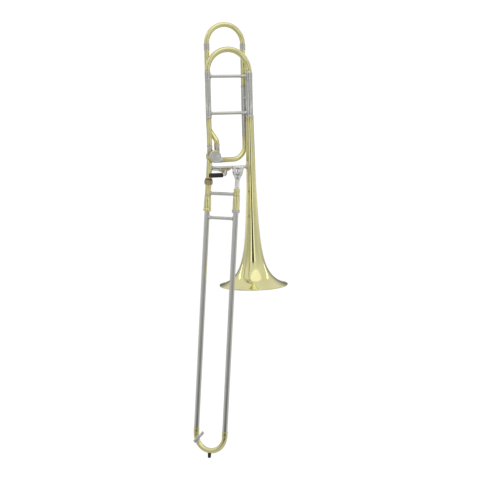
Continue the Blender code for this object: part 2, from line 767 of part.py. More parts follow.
def make_f_slide(materials, frame):
    """Modelled about the middle of its two legs, level with the tops of the outer sleeves."""
    bow_height = F_BOW_Z - F_SLEEVE_TOP
    left = (-F_BOW_RADIUS, 0, bow_height)
    right = (F_BOW_RADIUS, 0, bow_height)
    seat = 0.0080
    path = half_circle_path(left, right, seat, (0, 0, 1), BOW_STEPS)
    bow = bent_tube(path, (F_TUBE, F_TUBE), (PORT_BORE, PORT_BORE), (0, 1, 0))
    add_piece("f_bow", bow, materials["brass"], frame)

    inside = F_SLEEVE - SLEEVE_WALL - GAP
    leg_top = bow_height - seat - GAP
    ferrule_bottom = F_FERRULE_BOTTOM - F_SLEEVE_TOP
    for side, x in (("left", -F_BOW_RADIUS), ("right", F_BOW_RADIUS)):
        profile = [
            (PORT_BORE - 0.0002, -0.100),
            (inside, -0.100),
            (inside, GAP),
            (F_TUBE, GAP),
            (F_TUBE, leg_top),
            (PORT_BORE - 0.0002, leg_top),
        ]
        place = Matrix.Translation((x, 0, 0))
        add_piece(f"f_leg_{side}", turned(profile, TUBE_SIDES), materials["brass"], frame, place)
        ferrule = ring(ferrule_bottom, bow_height, 0.0084, F_TUBE + GAP)
        add_piece(f"f_ferrule_{side}", ferrule, materials["nickel"], frame, place)


# --- Slide section ------------------------------------------------------------------------------


def make_lock_nut(materials, frame):
    """The nut of the neck joint, with a waisted collar on top and a bulged grip."""
    bore = 0.0074
    profile = [
        (bore, -0.0265),
        (0.0098, -0.0265),
        (0.0116, -0.0245),
        (0.0122, -0.0195),
        (0.0122, -0.0165),
        (0.0114, -0.0125),
        (0.0102, -0.0115),
        (0.0106, -0.0105),
        (0.0106, -0.0085),
        (0.0098, -0.0079),
        (bore, -0.0079),
    ]
    add_piece("lock_nut", turned(profile, 20), materials["dark_brass"], frame)


def make_inner_slide(materials, frame):
    wide_bore = 0.0081
    tube_bore = INNER_TUBE + GAP + 0.0002
    step = -0.0720
    profile = [
        (0.0073, -0.0270),
        (0.0085, -0.0270),
        (BARREL_NECK, -0.0560),
        (0.0098, -0.0660),
        (0.0101, -0.0930),
        (0.0111, -0.0940),
        (0.0111, -BARREL_END + 0.0006),
        (0.0105, -BARREL_END),
        (wide_bore, -BARREL_END),
        (wide_bore, step),
        (tube_bore, step),
        (tube_bore, -0.0600),
        (0.0073, -0.0600),
    ]
    add_piece("neck_barrel", turned(profile, 20), materials["brass"], frame)

    profile = [
        (0.0061, -0.0340),
        (0.0078, -0.0340),
        (0.0082, -0.0360),
        (0.0082, -0.0420),
        (BARREL_NECK, -0.0560),
        (0.0098, -0.0620),
        (0.0098, -BARREL_END),
        (wide_bore, -BARREL_END),
        (wide_bore, step),
        (tube_bore, step),
        (tube_bore, -0.0590),
        (0.0056, -0.0580),
    ]
    right = Matrix.Translation((SLIDE_SPACING, 0, 0))
    add_piece("mouthpiece_barrel", turned(profile, 20), materials["brass"], frame, right)

    for side, place in (("left", Matrix.Identity(4)), ("right", right)):
        tube = ring(-INNER_END, -0.0605, INNER_TUBE, INNER_TUBE - 0.0005)
        add_piece(f"inner_tube_{side}", tube, materials["chrome"], frame, place)

    up = (0, 0, 1)
    add_brace(
        "inner_brace",
        (0, 0, -INNER_BRACE_AT),
        (SLIDE_SPACING, 0, -INNER_BRACE_AT),
        materials["nickel"],
        frame,
        [(BARREL_NECK, up), (BARREL_NECK, up)],
        rod_radius=0.0046,
        flange=0.0056,
    )


def make_slide_lock(materials, frame):
    """The locking ring at the foot of the mouthpiece-side barrel, with its lug to the front."""
    inner = 0.0101
    outer = 0.0110
    collar = ring(-BARREL_END - 0.0010, -0.0940, outer, inner, 20)
    piece = add_piece("slide_lock", collar, materials["nickel"], frame)
    lug = box((-0.0030, -outer - 0.0022, -BARREL_END - 0.0035), (0.0030, -inner - 0.0001, -0.0955))
    combine(piece, "UNION", lug)


def make_mouthpiece(materials, frame):
    """Rim, cup, throat and shank, with the open bore through them. Local Z is up the tube."""
    rim = -RIM_AT
    profile = [
        (0.0126, rim - 0.0010),
        (0.0142, rim),
        (0.0160, rim),
        (RIM_RADIUS, rim - 0.0022),
        (RIM_RADIUS - 0.0003, rim - 0.0050),
        (0.0156, rim - 0.0085),
        (0.0150, rim - 0.0170),
        (0.0128, rim - 0.0240),
        (0.0090, rim - 0.0310),
        (0.0070, rim - 0.0370),
        (0.0062, rim - 0.0410),
        (0.0064, rim - 0.0590),
        (0.0058, rim - 0.0612),
        (0.0052, rim - 0.0840),
        (0.0040, rim - 0.0840),
        (0.0028, rim - 0.0450),
        (0.0034, rim - 0.0310),
        (0.0085, rim - 0.0230),
        (0.0115, rim - 0.0120),
    ]
    add_piece("mouthpiece", turned(profile, 20), materials["silver"], frame)


def make_outer_slide(materials, frame):
    """Both outer tubes, their brace, the crook and what sits on it, in the slide's axes."""
    for side, x in (("left", 0.0), ("right", SLIDE_SPACING)):
        place = Matrix.Translation((x, 0, 0))
        tube = ring(-OUTER_END, -OUTER_TOP, OUTER_TUBE, OUTER_TUBE - 0.0004)
        add_piece(f"outer_tube_{side}", tube, materials["chrome"], frame, place)
        ferrule = ring(-CROOK_AT, -CROOK_AT + 0.0150, 0.0085, CROOK_TUBE + GAP)
        add_piece(f"crook_ferrule_{side}", ferrule, materials["brass"], frame, place)

    up = (0, 0, 1)
    add_brace(
        "outer_brace",
        (0, 0, -OUTER_BRACE_AT),
        (SLIDE_SPACING, 0, -OUTER_BRACE_AT),
        materials["nickel"],
        frame,
        [(OUTER_TUBE, up), (OUTER_TUBE, up)],
        flange=0.0064,
    )

    path = half_circle_path(
        (0, 0, -CROOK_AT),
        (SLIDE_SPACING, 0, -CROOK_AT),
        CROOK_AT - OUTER_END - GAP,
        (0, 0, -1),
        BOW_STEPS,
    )
    crook = bent_tube(path, (CROOK_TUBE, CROOK_TUBE), (0.0068, 0.0068), (0, 1, 0))
    add_piece("crook", crook, materials["brass"], frame)

    top = -CROOK_AT - CROOK_RADIUS - CROOK_TUBE - GAP
    tip = top - BUMPER_LENGTH
    profile = [
        (0.0, top),
        (0.0050, top),
        (0.0046, tip + 0.0012),
        (0.0036, tip),
        (0.0, tip),
    ]
    middle = Matrix.Translation((SLIDE_SPACING / 2, 0, 0))
    add_piece("rubber_bumper", turned(profile, TUBE_SIDES), materials["rubber"], frame, middle)


def water_key_matrix():
    """The water key's axes on the crook: the origin lies on the crook's centre line, part of the
    way round its bend, X runs up the lever into the U, and Z stands out to the front."""
    lever = Vector((cos(WATER_KEY_SLOPE), 0, sin(WATER_KEY_SLOPE)))
    outwards = Vector((0, -1, 0))
    matrix = Matrix((lever, outwards.cross(lever), outwards)).transposed().to_4x4()
    across = CROOK_RADIUS * (1 - cos(WATER_KEY_AT))
    below = CROOK_AT + CROOK_RADIUS * sin(WATER_KEY_AT)
    return Matrix.Translation((across, 0, -below)) @ matrix


KEY_BASE = CROOK_TUBE + 0.0006
KEY_PIVOT = Vector((0.0090, 0.0, KEY_BASE + 0.0042))
KEY_SEAT = KEY_BASE + 0.0032
KEY_HUB_HALF = 0.0028
KEY_ARM_HALF = 0.0042
CORK_RADIUS = 0.0040


def make_water_key_saddle(materials, frame):
    """The saddle on the crook: the nipple, and two posts with the pin between them."""
    post_inside = KEY_HUB_HALF + 0.0005
    post_outside = post_inside + 0.0024
    base = box((-0.0055, -post_outside, KEY_BASE), (0.0120, post_outside, KEY_BASE + 0.0014))
    piece = add_piece("water_key_saddle", base, materials["chrome"], frame, water_key_matrix())
    combine(piece, "UNION", rod(KEY_BASE + 0.0004, KEY_SEAT, CORK_RADIUS + 0.0004, TUBE_SIDES))
    for low, high in ((-post_outside, -post_inside), (post_inside, post_outside)):
        post = box((0.0066, low, KEY_BASE + 0.0004), (0.0114, high, KEY_PIVOT.z + 0.0024))
        combine(piece, "UNION", post)
    pin = rod(-post_outside - 0.0006, post_outside + 0.0006, 0.0010, 8)
    combine(piece, "UNION", pin, Matrix.Translation(KEY_PIVOT) @ ALONG_Y)


def make_water_key(materials, frame):
    """The lever about its pin: the cork arm over the nipple, and the finger paddle inside the U.
    It is narrow between the posts of the saddle and broad at both ends."""
    hub = ring(-KEY_HUB_HALF, KEY_HUB_HALF, 0.0024, 0.0014, TUBE_SIDES)
    bmesh.ops.transform(hub, matrix=ALONG_Y, verts=hub.verts)
    piece = add_piece("water_key", hub, materials["chrome"], frame)
    seat = KEY_SEAT - KEY_PIVOT.z
    cork_neck = [
        (-0.0060, 0.0030),
        (-0.0030, 0.0035),
        (-0.0005, 0.0022),
        (-0.0018, 0.0012),
        (-0.0045, 0.0018),
        (-0.0060, 0.0022),
    ]
    cork_plate = [
        (-0.0132, seat + 0.0030),
        (-0.0132, seat + 0.0046),
        (-0.0050, 0.0036),
        (-0.0045, seat + 0.0028),
    ]
    paddle_neck = [
        (0.0012, 0.0018),
        (0.0020, -0.0004),
        (0.0080, 0.0000),
        (0.0080, 0.0018),
    ]
    paddle = [
        (0.0050, 0.0020),
        (0.0050, -0.0002),
        (0.0110, 0.0001),
        (0.0200, -0.0016),
        (0.0278, -0.0012),
        (0.0280, 0.0005),
        (0.0200, 0.0002),
        (0.0110, 0.0021),
    ]
    for outline, half in (
        (cork_neck, KEY_HUB_HALF),
        (cork_plate, KEY_ARM_HALF),
        (paddle_neck, KEY_HUB_HALF),
        (paddle, KEY_ARM_HALF),
    ):
        combine(piece, "UNION", plate(outline, -half, half))

    cork = rod(seat + GAP, seat + 0.0026, CORK_RADIUS)
    place = Matrix.Translation((-KEY_PIVOT.x, 0, 0))
    add_piece("water_key_cork", cork, materials["cork"], frame, place)


# --- Assembly -----------------------------------------------------------------------------------


def build_trombone():
    clear_scene()
    materials = make_materials()

    bell_section = add_frame("bell_section", Matrix.Identity(4))
    make_bell(materials["brass"], bell_section)
    make_sleeve("bell_sleeve", 0.0, BELL_SLEEVE, 0.0117, materials["nickel"], bell_section)
    make_sleeve("neck_sleeve", NECK_X, NECK_SLEEVE, 0.0088, materials["nickel"], bell_section)
    make_main_tubes(materials, bell_section)
    make_braces(materials, bell_section)
    make_f_tubes(materials, bell_section)
    make_valve_casing(materials, bell_section)
    make_trigger_bracket(materials, bell_section)

    tuning_slide = add_frame("tuning_slide", Matrix.Translation((-BOW_RADIUS, 0, SLEEVE_TOP)))
    make_tuning_slide(materials, tuning_slide)
    f_slide = add_frame("f_slide", Matrix.Translation((F_MID_X, F_PLANE_Y, F_SLEEVE_TOP)))
    make_f_slide(materials, f_slide)
    rotor = add_frame("rotor", Matrix.Translation(ROTOR))
    make_rotor(materials, rotor)
    pivot = Vector((PIVOT_X, 0, PIVOT_Z))
    trigger = add_frame("trigger", Matrix.Translation(pivot))
    make_trigger(materials, trigger)
    link = add_frame("link", Matrix.Translation(pivot + REAR_ARM_END))
    make_link(materials, link)

    inner_slide = add_frame("inner_slide", SLIDE_FRAME)
    make_inner_slide(materials, inner_slide)
    lock_nut = add_frame("lock_nut_axis", SLIDE_FRAME)
    make_lock_nut(materials, lock_nut)
    right_tube = Matrix.Translation((SLIDE_SPACING, 0, 0))
    lock_ring = add_frame("slide_lock_axis", right_tube, inner_slide)
    make_slide_lock(materials, lock_ring)
    mouthpiece = add_frame("mouthpiece_axis", right_tube, inner_slide)
    make_mouthpiece(materials, mouthpiece)
    outer_slide = add_frame("outer_slide", Matrix.Identity(4), inner_slide)
    make_outer_slide(materials, outer_slide)
    make_water_key_saddle(materials, outer_slide)
    key_pivot = water_key_matrix() @ Matrix.Translation(KEY_PIVOT)
    water_key = add_frame("water_key_axis", key_pivot, outer_slide)
    make_water_key(materials, water_key)


build_trombone()
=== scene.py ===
"""Looks of the tenor trombone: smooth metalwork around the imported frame, studio, camera.

The round CAD pieces are faceted, so each one is stood for by a finely turned or swept piece on
the same axis and of the same size. Places come from the frame: its nodes' boxes and its joints.
All sizes are in metres.
"""

import json
from math import cos, pi, radians, sin, sqrt

import bmesh
import bpy
from mathutils import Matrix, Vector


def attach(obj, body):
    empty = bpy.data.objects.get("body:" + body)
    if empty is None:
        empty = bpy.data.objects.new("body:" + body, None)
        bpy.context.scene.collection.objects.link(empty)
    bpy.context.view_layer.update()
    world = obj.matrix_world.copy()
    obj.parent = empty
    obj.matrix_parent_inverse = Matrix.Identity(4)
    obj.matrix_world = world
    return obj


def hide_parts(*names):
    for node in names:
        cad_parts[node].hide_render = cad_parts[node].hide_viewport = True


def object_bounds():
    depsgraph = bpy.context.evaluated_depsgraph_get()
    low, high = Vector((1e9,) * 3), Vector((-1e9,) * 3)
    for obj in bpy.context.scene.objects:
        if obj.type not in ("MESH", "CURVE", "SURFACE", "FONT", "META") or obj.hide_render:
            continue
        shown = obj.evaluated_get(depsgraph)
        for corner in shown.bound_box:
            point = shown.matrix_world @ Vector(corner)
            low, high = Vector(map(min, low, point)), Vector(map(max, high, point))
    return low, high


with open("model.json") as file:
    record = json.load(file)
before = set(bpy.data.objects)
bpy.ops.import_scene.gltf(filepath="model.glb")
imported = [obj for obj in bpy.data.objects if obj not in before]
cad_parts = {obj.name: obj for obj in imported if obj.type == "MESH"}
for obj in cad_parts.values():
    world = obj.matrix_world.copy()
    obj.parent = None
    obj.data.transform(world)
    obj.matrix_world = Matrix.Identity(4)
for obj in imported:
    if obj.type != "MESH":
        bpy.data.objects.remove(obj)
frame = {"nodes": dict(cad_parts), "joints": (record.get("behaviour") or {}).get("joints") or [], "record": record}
cad_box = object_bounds()

# --- Driving sizes ---

# The bell's radius is BELL_THROAT far up, and widens faster the smaller BELL_FLARE is.
BELL_THROAT = 0.0056
BELL_FLARE = 0.031
BELL_SLEEVE_RADIUS = 0.0103
NECK_SLEEVE_RADIUS = 0.0079
NECKPIPE_RADIUS = 0.0079
NECKPIPE_SHOULDER = -0.0075
BOW_RADII = (0.0073, 0.0088)
BOW_WALL = 0.0007
CROOK_RADIUS = 0.0076
F_TUBE_RADIUS = 0.0073
F_WALL = 0.0009
F_BEND_RADIUS = 0.042
F_RISER_RADIUS = 0.016
F_RUN_START = 0.0283
SHEET = 0.00065
WATER_KEY_SLOPE = radians(50)

# How far an edge is rounded, a joint overlaps, and the metal is aged beside a soldered seam.
EDGE = 0.0004
SOLDER = 0.0006
SEAM_REACH = 0.011

BELL_SIDES = 176
TUBE_SIDES = 64
ROD_SIDES = 40
BEND_STEPS = 56
CORNER_STEPS = 4
CREASE = radians(34)
PLATE_CREASE = radians(50)

# --- The frame's axes ---

WORLD = Matrix.Identity(4)
ALONG_X = Matrix.Rotation(pi / 2, 4, "Y")
ALONG_Y = Matrix.Rotation(-pi / 2, 4, "X")

record = frame["record"]
joints = {joint["name"]: joint for joint in frame["joints"]}
BODY_OF = {node: body for body, nodes in record["behaviour"]["bodies"].items() for node in nodes}
SLOT_OF = {part["node"]: part["material_slot"] for part in record["subparts"]}


def joint_place(name):
    return Vector(joints[name]["pos_m"])


def slide_axes():
    """The hand slide's own axes: Z up the left tube from the neck joint, X to the right tube."""
    origin = joint_place("slide_swivel")
    up = -Vector(joints["slide_swivel"]["axis"]).normalized()
    to_right = joint_place("slide_lock_turn") - origin
    across = (to_right - up * to_right.dot(up)).normalized()
    turn = Matrix((across, up.cross(across), up)).transposed().to_4x4()
    return Matrix.Translation(origin) @ turn


def span(node, axes=WORLD):
    """The lowest and highest corners of a CAD node in the given axes."""
    to_local = axes.inverted()
    corners = [to_local @ vertex.co for vertex in frame["nodes"][node].data.vertices]
    low = Vector([min(corner[i] for corner in corners) for i in range(3)])
    high = Vector([max(corner[i] for corner in corners) for i in range(3)])
    return low, high


def middle(node, axes=WORLD):
    low, high = span(node, axes)
    return (low + high) / 2


def upright_axis(node):
    """A vertical axis through the middle of a node, with its origin at height zero."""
    centre = middle(node)
    return Matrix.Translation((centre.x, centre.y, 0))


SLIDE = slide_axes()
SLIDE_WIDTH = (SLIDE.inverted() @ joint_place("slide_lock_turn")).x
RIGHT_TUBE = SLIDE @ Matrix.Translation((SLIDE_WIDTH, 0, 0))
NECK = upright_axis("neck_sleeve")
F_LEFT = upright_axis("f_sleeve_left")
F_RIGHT = upright_axis("f_sleeve_right")
ROTOR = joint_place("rotor_turn")
PIVOT = joint_place("trigger_press")
CASING = Matrix.Translation(ROTOR) @ ALONG_Y
CASING_CUT = (CASING, span("rotor_casing", CASING)[1].x - SOLDER, 0.03)

# --- Materials ---


class Nodes:
    """A small helper that adds nodes to one node tree and links them up. A value is a number, a
    colour or vector, or another node's output."""

    def __init__(self, tree):
        self.tree = tree

    def link(self, source, target):
        self.tree.links.new(source, target)

    def feed(self, socket, value):
        if isinstance(value, bpy.types.NodeSocket):
            self.link(value, socket)
        else:
            socket.default_value = value

    def add(self, kind, **inputs):
        """A new node; each input is named with _ for a space."""
        node = self.tree.nodes.new(f"ShaderNode{kind}")
        for name, value in inputs.items():
            self.feed(node.inputs[name.replace("_", " ")], value)
        return node

    def between(self, value, low, high, out_low=0.0, out_high=1.0):
        """Maps low..high of a value to out_low..out_high, and holds it there outside."""
        node = self.add("MapRange", Value=value, From_Min=low, From_Max=high, To_Min=out_low,
                        To_Max=out_high)
        return node.outputs["Result"]

    def mixed(self, share, first, second):
        """A colour between two colours."""
        node = self.tree.nodes.new("ShaderNodeMix")
        node.data_type = "RGBA"
        self.link(share, node.inputs["Factor"])
        colours = [socket for socket in node.inputs if socket.type == "RGBA"]
        for socket, value in zip(colours, (first, second)):
            self.feed(socket, (*value, 1.0) if isinstance(value, tuple) else value)
        return next(socket for socket in node.outputs if socket.type == "RGBA")


class Shading(Nodes):
    """The nodes of one material, whose textures follow the piece's own_place attribute."""

    def __init__(self, name):
        self.material = bpy.data.materials.new(name)
        self.material.use_nodes = True
        super().__init__(self.material.node_tree)
        self.coordinates = self.attribute("own_place", "Vector")

    def attribute(self, name, output="Fac"):
        node = self.add("Attribute")
        node.attribute_name = name
        return node.outputs[output]

    def stretched(self, scale):
        return self.add("Mapping", Scale=scale, Vector=self.coordinates).outputs["Vector"]

    def noise(self, scale, detail=3.0, roughness=0.55, vector=None):
        node = self.add("TexNoise", Scale=scale, Detail=detail, Roughness=roughness,
                        Vector=vector or self.coordinates)
        return node.outputs["Fac"]

    def maths(self, operation, first, second, clamp=False):
        node = self.add("Math")
        node.operation = operation
        node.use_clamp = clamp
        self.feed(node.inputs[0], first)
        self.feed(node.inputs[1], second)
        return node.outputs["Value"]

    def bump(self, height, strength, distance, before=None):
        node = self.add("Bump", Strength=strength, Distance=distance, Height=height)
        if before:
            self.link(before, node.inputs["Normal"])
        return node.outputs["Normal"]

    def finish(self, colour, roughness, normal, metallic, **sockets):
        shader = self.tree.nodes["Principled BSDF"]
        sockets.update(Base_Color=colour, Roughness=roughness, Normal=normal, Metallic=metallic)
        for name, value in sockets.items():
            self.feed(shader.inputs[name.replace("_", " ")], value)
        return self.material


def make_metal(name, clean, aged, worn, gloss, ageing, lines, **sockets):
    """A polished metal. It is aged in broad soft patches, in small spots and beside soldered
    seams, its edges are worn, and faint polishing lines run round each piece. gloss is the range
    of roughness, ageing is how far the patches go, and lines how deep the polishing is."""
    shading = Shading(name)
    patches = shading.between(shading.noise(11.0, 4.0), 0.46, 0.72, 0.0, ageing)
    blotches = shading.between(shading.noise(70.0, 5.0, 0.65), 0.58, 0.74, 0.0, ageing * 0.5)
    spots = shading.between(shading.noise(520.0, 2.0), 0.71, 0.75, 0.0, 0.55)
    seam = shading.maths("MULTIPLY", shading.attribute("seam"), shading.noise(160.0, 4.0, 0.7))
    seam = shading.maths("MULTIPLY", seam, 1.35, clamp=True)
    age = shading.maths("MAXIMUM", shading.maths("ADD", patches, blotches, clamp=True), spots)
    age = shading.maths("MAXIMUM", age, seam)
    colour = shading.mixed(age, clean, aged)
    scuffs = shading.between(shading.noise(240.0, 4.0, 0.7), 0.35, 0.65)
    wear = shading.maths("MULTIPLY", shading.attribute("edge"), scuffs)
    colour = shading.mixed(wear, colour, worn)

    smudges = shading.between(shading.noise(32.0, 5.0, 0.6), 0.35, 0.7, *gloss)
    roughness = shading.maths("ADD", smudges, shading.maths("MULTIPLY", age, 0.16))
    roughness = shading.maths("ADD", roughness, shading.maths("MULTIPLY", wear, 0.1), clamp=True)

    hairlines = shading.noise(1.0, 2.0, 0.5, shading.stretched((60.0, 60.0, 5200.0)))
    normal = shading.bump(hairlines, lines, 0.00004)
    normal = shading.bump(shading.noise(38.0, 2.0), 0.05, 0.0006, normal)
    return shading.finish(colour, roughness, normal, 1.0, **sockets)


def make_rubber():
    """Moulded black rubber: a fine matt grain, dusty where it is handled."""
    shading = Shading("moulded_rubber")
    dust = shading.between(shading.noise(90.0, 5.0, 0.7), 0.45, 0.75, 0.0, 0.12)
    dust = shading.maths("MAXIMUM", dust, shading.maths("MULTIPLY", shading.attribute("edge"), 0.22))
    colour = shading.mixed(dust, (0.012, 0.013, 0.014), (0.1, 0.105, 0.1))
    roughness = shading.between(shading.noise(300.0, 4.0), 0.3, 0.7, 0.42, 0.68)
    grain = shading.bump(shading.noise(2600.0, 3.0), 0.35, 0.00012)
    return shading.finish(colour, roughness, grain, 0.0, Specular_IOR_Level=0.3)


def make_cork():
    """Natural cork: pale cells with darker flecks and pores."""
    shading = Shading("natural_cork")
    cells = shading.noise(900.0, 4.0, 0.7)
    colour = shading.mixed(shading.between(cells, 0.35, 0.65), (0.56, 0.38, 0.22), (0.4, 0.24, 0.12))
    flecks = shading.between(shading.noise(420.0, 2.0), 0.62, 0.68)
    colour = shading.mixed(flecks, colour, (0.13, 0.07, 0.04))
    roughness = shading.between(cells, 0.3, 0.7, 0.78, 0.95)
    return shading.finish(colour, roughness, shading.bump(cells, 0.6, 0.0003), 0.0)


# Each metal's clean, aged and worn colours, its range of roughness, its ageing and its lines.
METALS = {
    "lacquered_brass": (
        (0.815, 0.78, 0.4), (0.59, 0.43, 0.18), (0.9, 0.84, 0.54), (0.06, 0.13), 0.24, 0.08,
    ),
    "nickel_silver": (
        (0.64, 0.64, 0.605), (0.4, 0.375, 0.31), (0.8, 0.8, 0.77), (0.09, 0.17), 0.2, 0.09,
    ),
    "chromed_slide": (
        (0.755, 0.755, 0.715), (0.44, 0.43, 0.4), (0.8, 0.79, 0.74), (0.07, 0.15), 0.2, 0.1,
    ),
    "silver_plate": (
        (0.93, 0.93, 0.915), (0.6, 0.555, 0.47), (0.96, 0.955, 0.935), (0.045, 0.11), 0.16, 0.06,
    ),
    "aged_brass": (
        (0.52, 0.435, 0.25), (0.095, 0.065, 0.035), (0.78, 0.68, 0.42), (0.15, 0.3), 0.4, 0.24,
    ),
}
LACQUER = {"Coat_Weight": 0.35, "Coat_Roughness": 0.06}
MATERIALS = {
    slot: make_metal(f"{slot}_finish", *look, **(LACQUER if slot.startswith("lacquered") else {}))
    for slot, look in METALS.items()
}
MATERIALS["black_rubber"] = make_rubber()
MATERIALS["cork"] = make_cork()

# --- Mesh helpers ---


def finished_mesh(builder, name, crease=CREASE):
    """Turns a bmesh into a smooth-shaded mesh with outward faces."""
    bmesh.ops.remove_doubles(builder, verts=builder.verts, dist=1e-7)
    bmesh.ops.recalc_face_normals(builder, faces=builder.faces)
    mesh = bpy.data.meshes.new(name)
    builder.to_mesh(mesh)
    builder.free()
    mesh.shade_smooth()
    mesh.set_sharp_from_angle(angle=crease)
    return mesh


def keep_own_place(mesh, axes=WORLD):
    """Moves a mesh from its own axes to the frame's. Each point keeps its place in its own axes as
    an attribute, so that a material's lines follow the piece."""
    own_place = mesh.attributes.new("own_place", "FLOAT_VECTOR", "POINT")
    for stored, vertex in zip(own_place.data, mesh.vertices):
        stored.vector = vertex.co
    mesh.transform(axes)


def add_object(name, data):
    """A new object, linked into the scene."""
    item = bpy.data.objects.new(name, data)
    bpy.context.scene.collection.objects.link(item)
    return item


def stand_for(node, builder, axes=WORLD, crease=CREASE, cut=None):
    """Shows a mesh, given in the axes, in place of a CAD node of the same place and size. cut is
    (axes, radius, depth): a cylinder that is cut out of the piece."""
    mesh = finished_mesh(builder, f"{node}_form", crease)
    keep_own_place(mesh, axes)
    piece = add_object(f"{node}_form", mesh)
    if cut:
        carve(piece, *cut)
    piece.data.materials.clear()
    piece.data.materials.append(MATERIALS[SLOT_OF[node]])
    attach(piece, BODY_OF[node])
    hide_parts(node)


def rounded(profile, closed):
    """Rounds a profile's corners. A profile's rows are a radius, a height, how far the corner is
    rounded off and how aged the metal is there; the last two are 0 where they are left out. Gives
    (point, edge, seam) rows, where edge is how worn the metal is: going up the outside, outward
    corners wear, and dirt stays in inward ones."""
    rows = []
    count = len(profile)
    corners = [Vector(row[:2]) for row in profile]
    for index, corner in enumerate(corners):
        rounding, seam = (*profile[index][2:], 0.0, 0.0)[:2]
        before = corners[index - 1]
        after = corners[(index + 1) % count]
        inner_point = closed or 0 < index < count - 1
        if not (rounding and inner_point):
            rows.append((corner, 0.0, seam))
            continue
        arriving, leaving = corner - before, after - corner
        turn = arriving.x * leaving.y - arriving.y * leaving.x
        reach = min(rounding, arriving.length * 0.45, leaving.length * 0.45)
        start = corner - arriving.normalized() * reach
        end = corner + leaving.normalized() * reach
        for step in range(CORNER_STEPS + 1):
            share = step / CORNER_STEPS
            point = start * (1 - share) ** 2 + corner * 2 * share * (1 - share) + end * share**2
            bend = sin(pi * share)
            rows.append((point, bend if turn > 0 else 0.0, max(seam, 0.0 if turn > 0 else bend * 0.8)))
    return rows


def add_rings(builder, rings, marks, around):
    """Faces between rings of points; marks gives each ring's edge and seam."""
    edge_layer = builder.verts.layers.float.new("edge")
    seam_layer = builder.verts.layers.float.new("seam")
    made = []
    for points, (edge, seam) in zip(rings, marks):
        ring = [builder.verts.new(point) for point in points]
        for vertex in ring:
            vertex[edge_layer] = edge
            vertex[seam_layer] = seam
        made.append(ring)
    pairs = list(zip(made, made[1:]))
    if around:
        pairs.append((made[-1], made[0]))
    for first, second in pairs:
        for side in range(len(first)):
            following = (side + 1) % len(first)
            builder.faces.new((first[side], first[following], second[following], second[side]))


def turned(profile, sides=TUBE_SIDES, flutes=None):
    """A solid of revolution about Z, from a profile that goes once round its section. One that
    starts and ends on the axis is a solid without a bore. flutes is (count, depth, low, high):
    the surface is fluted between two heights."""
    closed = profile[0][0] > 0
    rings = []
    marks = []
    for point, edge, seam in rounded(profile, closed):
        ring = []
        for side in range(sides):
            angle = 2 * pi * side / sides
            radius = point.x
            if flutes and flutes[2] < point.y < flutes[3]:
                radius -= flutes[1] * (0.5 - 0.5 * cos(flutes[0] * angle))
            ring.append((radius * cos(angle), radius * sin(angle), point.y))
        rings.append(ring)
        marks.append((edge, seam))
    builder = bmesh.new()
    add_rings(builder, rings, marks, closed)
    return builder


def node_round(node, axes):
    """A round node's outer radius, bottom and top along the axes' Z."""
    low, high = span(node, axes)
    return (high.x - low.x) / 2, low.z, high.z


def stand_round(node, axes, from_foot, from_top, sides=TUBE_SIDES, flutes=None, cut=None):
    """Shows a turned piece in place of a round CAD node. The rows of its profile give a radius,
    the distance from the node's foot or its top, and then what rounded() takes."""
    _, low, high = node_round(node, axes)
    profile = [(radius, low + up, *marks) for radius, up, *marks in from_foot]
    profile += [(radius, high - down, *marks) for radius, down, *marks in from_top]
    stand_for(node, turned(profile, sides, flutes), axes, cut=cut)


def stand_tube(node, axes, wall, seam=0.0):
    """Shows a plain tube whose metal is aged at both ends, by as much as seam says."""
    radius, low, high = node_round(node, axes)
    reach = min(SEAM_REACH, (high - low) * 0.4)
    end = [
        (radius - wall, 0, EDGE / 2, seam), (radius, 0, EDGE, seam),
        (radius, reach * 0.35, 0.0, seam * 0.55), (radius, reach),
    ]
    stand_round(node, axes, end, end[::-1])


def stand_ferrule(node, axes, bore):
    """Shows a ferrule: a short sleeve, slightly waisted between a raised band at each end."""
    radius = node_round(node, axes)[0]
    band = 0.0016
    waist = radius - 0.00035
    end = [
        (bore, 0, EDGE / 2, 0.8), (radius, 0, EDGE * 1.5, 0.5), (radius, band, EDGE),
        (waist, band * 1.3, EDGE, 0.2),
    ]
    stand_round(node, axes, end, end[::-1])


def stand_post(node, top_rounding, axes):
    """Shows a small solid post that stands along the axes' Z."""
    centre = middle(node, axes)
    axes = axes @ Matrix.Translation((centre.x, centre.y, 0))
    radius = node_round(node, axes)[0]
    stand_round(node, axes, [(0.0, 0), (radius, 0, EDGE)],
                [(radius, 0, top_rounding), (0.0, 0)], ROD_SIDES)


def swept(path, radii, wall, normal):
    """A bent tube along a path that lies in one plane. The outer radius changes evenly from
    radii[0] to radii[1]."""
    normal = Vector(normal).normalized()
    lengths = [0.0]
    for first, second in zip(path, path[1:]):
        lengths.append(lengths[-1] + (second - first).length)
    total = lengths[-1]
    outer_rings, inner_rings, marks = [], [], []
    for index, point in enumerate(path):
        tangent = (path[min(index + 1, len(path) - 1)] - path[max(index - 1, 0)]).normalized()
        sideways = tangent.cross(normal)
        radius = radii[0] + (radii[1] - radii[0]) * lengths[index] / total
        for rings, size in ((outer_rings, radius), (inner_rings, radius - wall)):
            turn = [2 * pi * side / TUBE_SIDES for side in range(TUBE_SIDES)]
            rings.append([point + size * (cos(a) * normal + sin(a) * sideways) for a in turn])
        to_end = min(lengths[index], total - lengths[index])
        marks.append((0.0, max(0.0, 1 - to_end / SEAM_REACH)))
    builder = bmesh.new()
    add_rings(builder, outer_rings + inner_rings[::-1], marks + marks[::-1], True)
    return builder


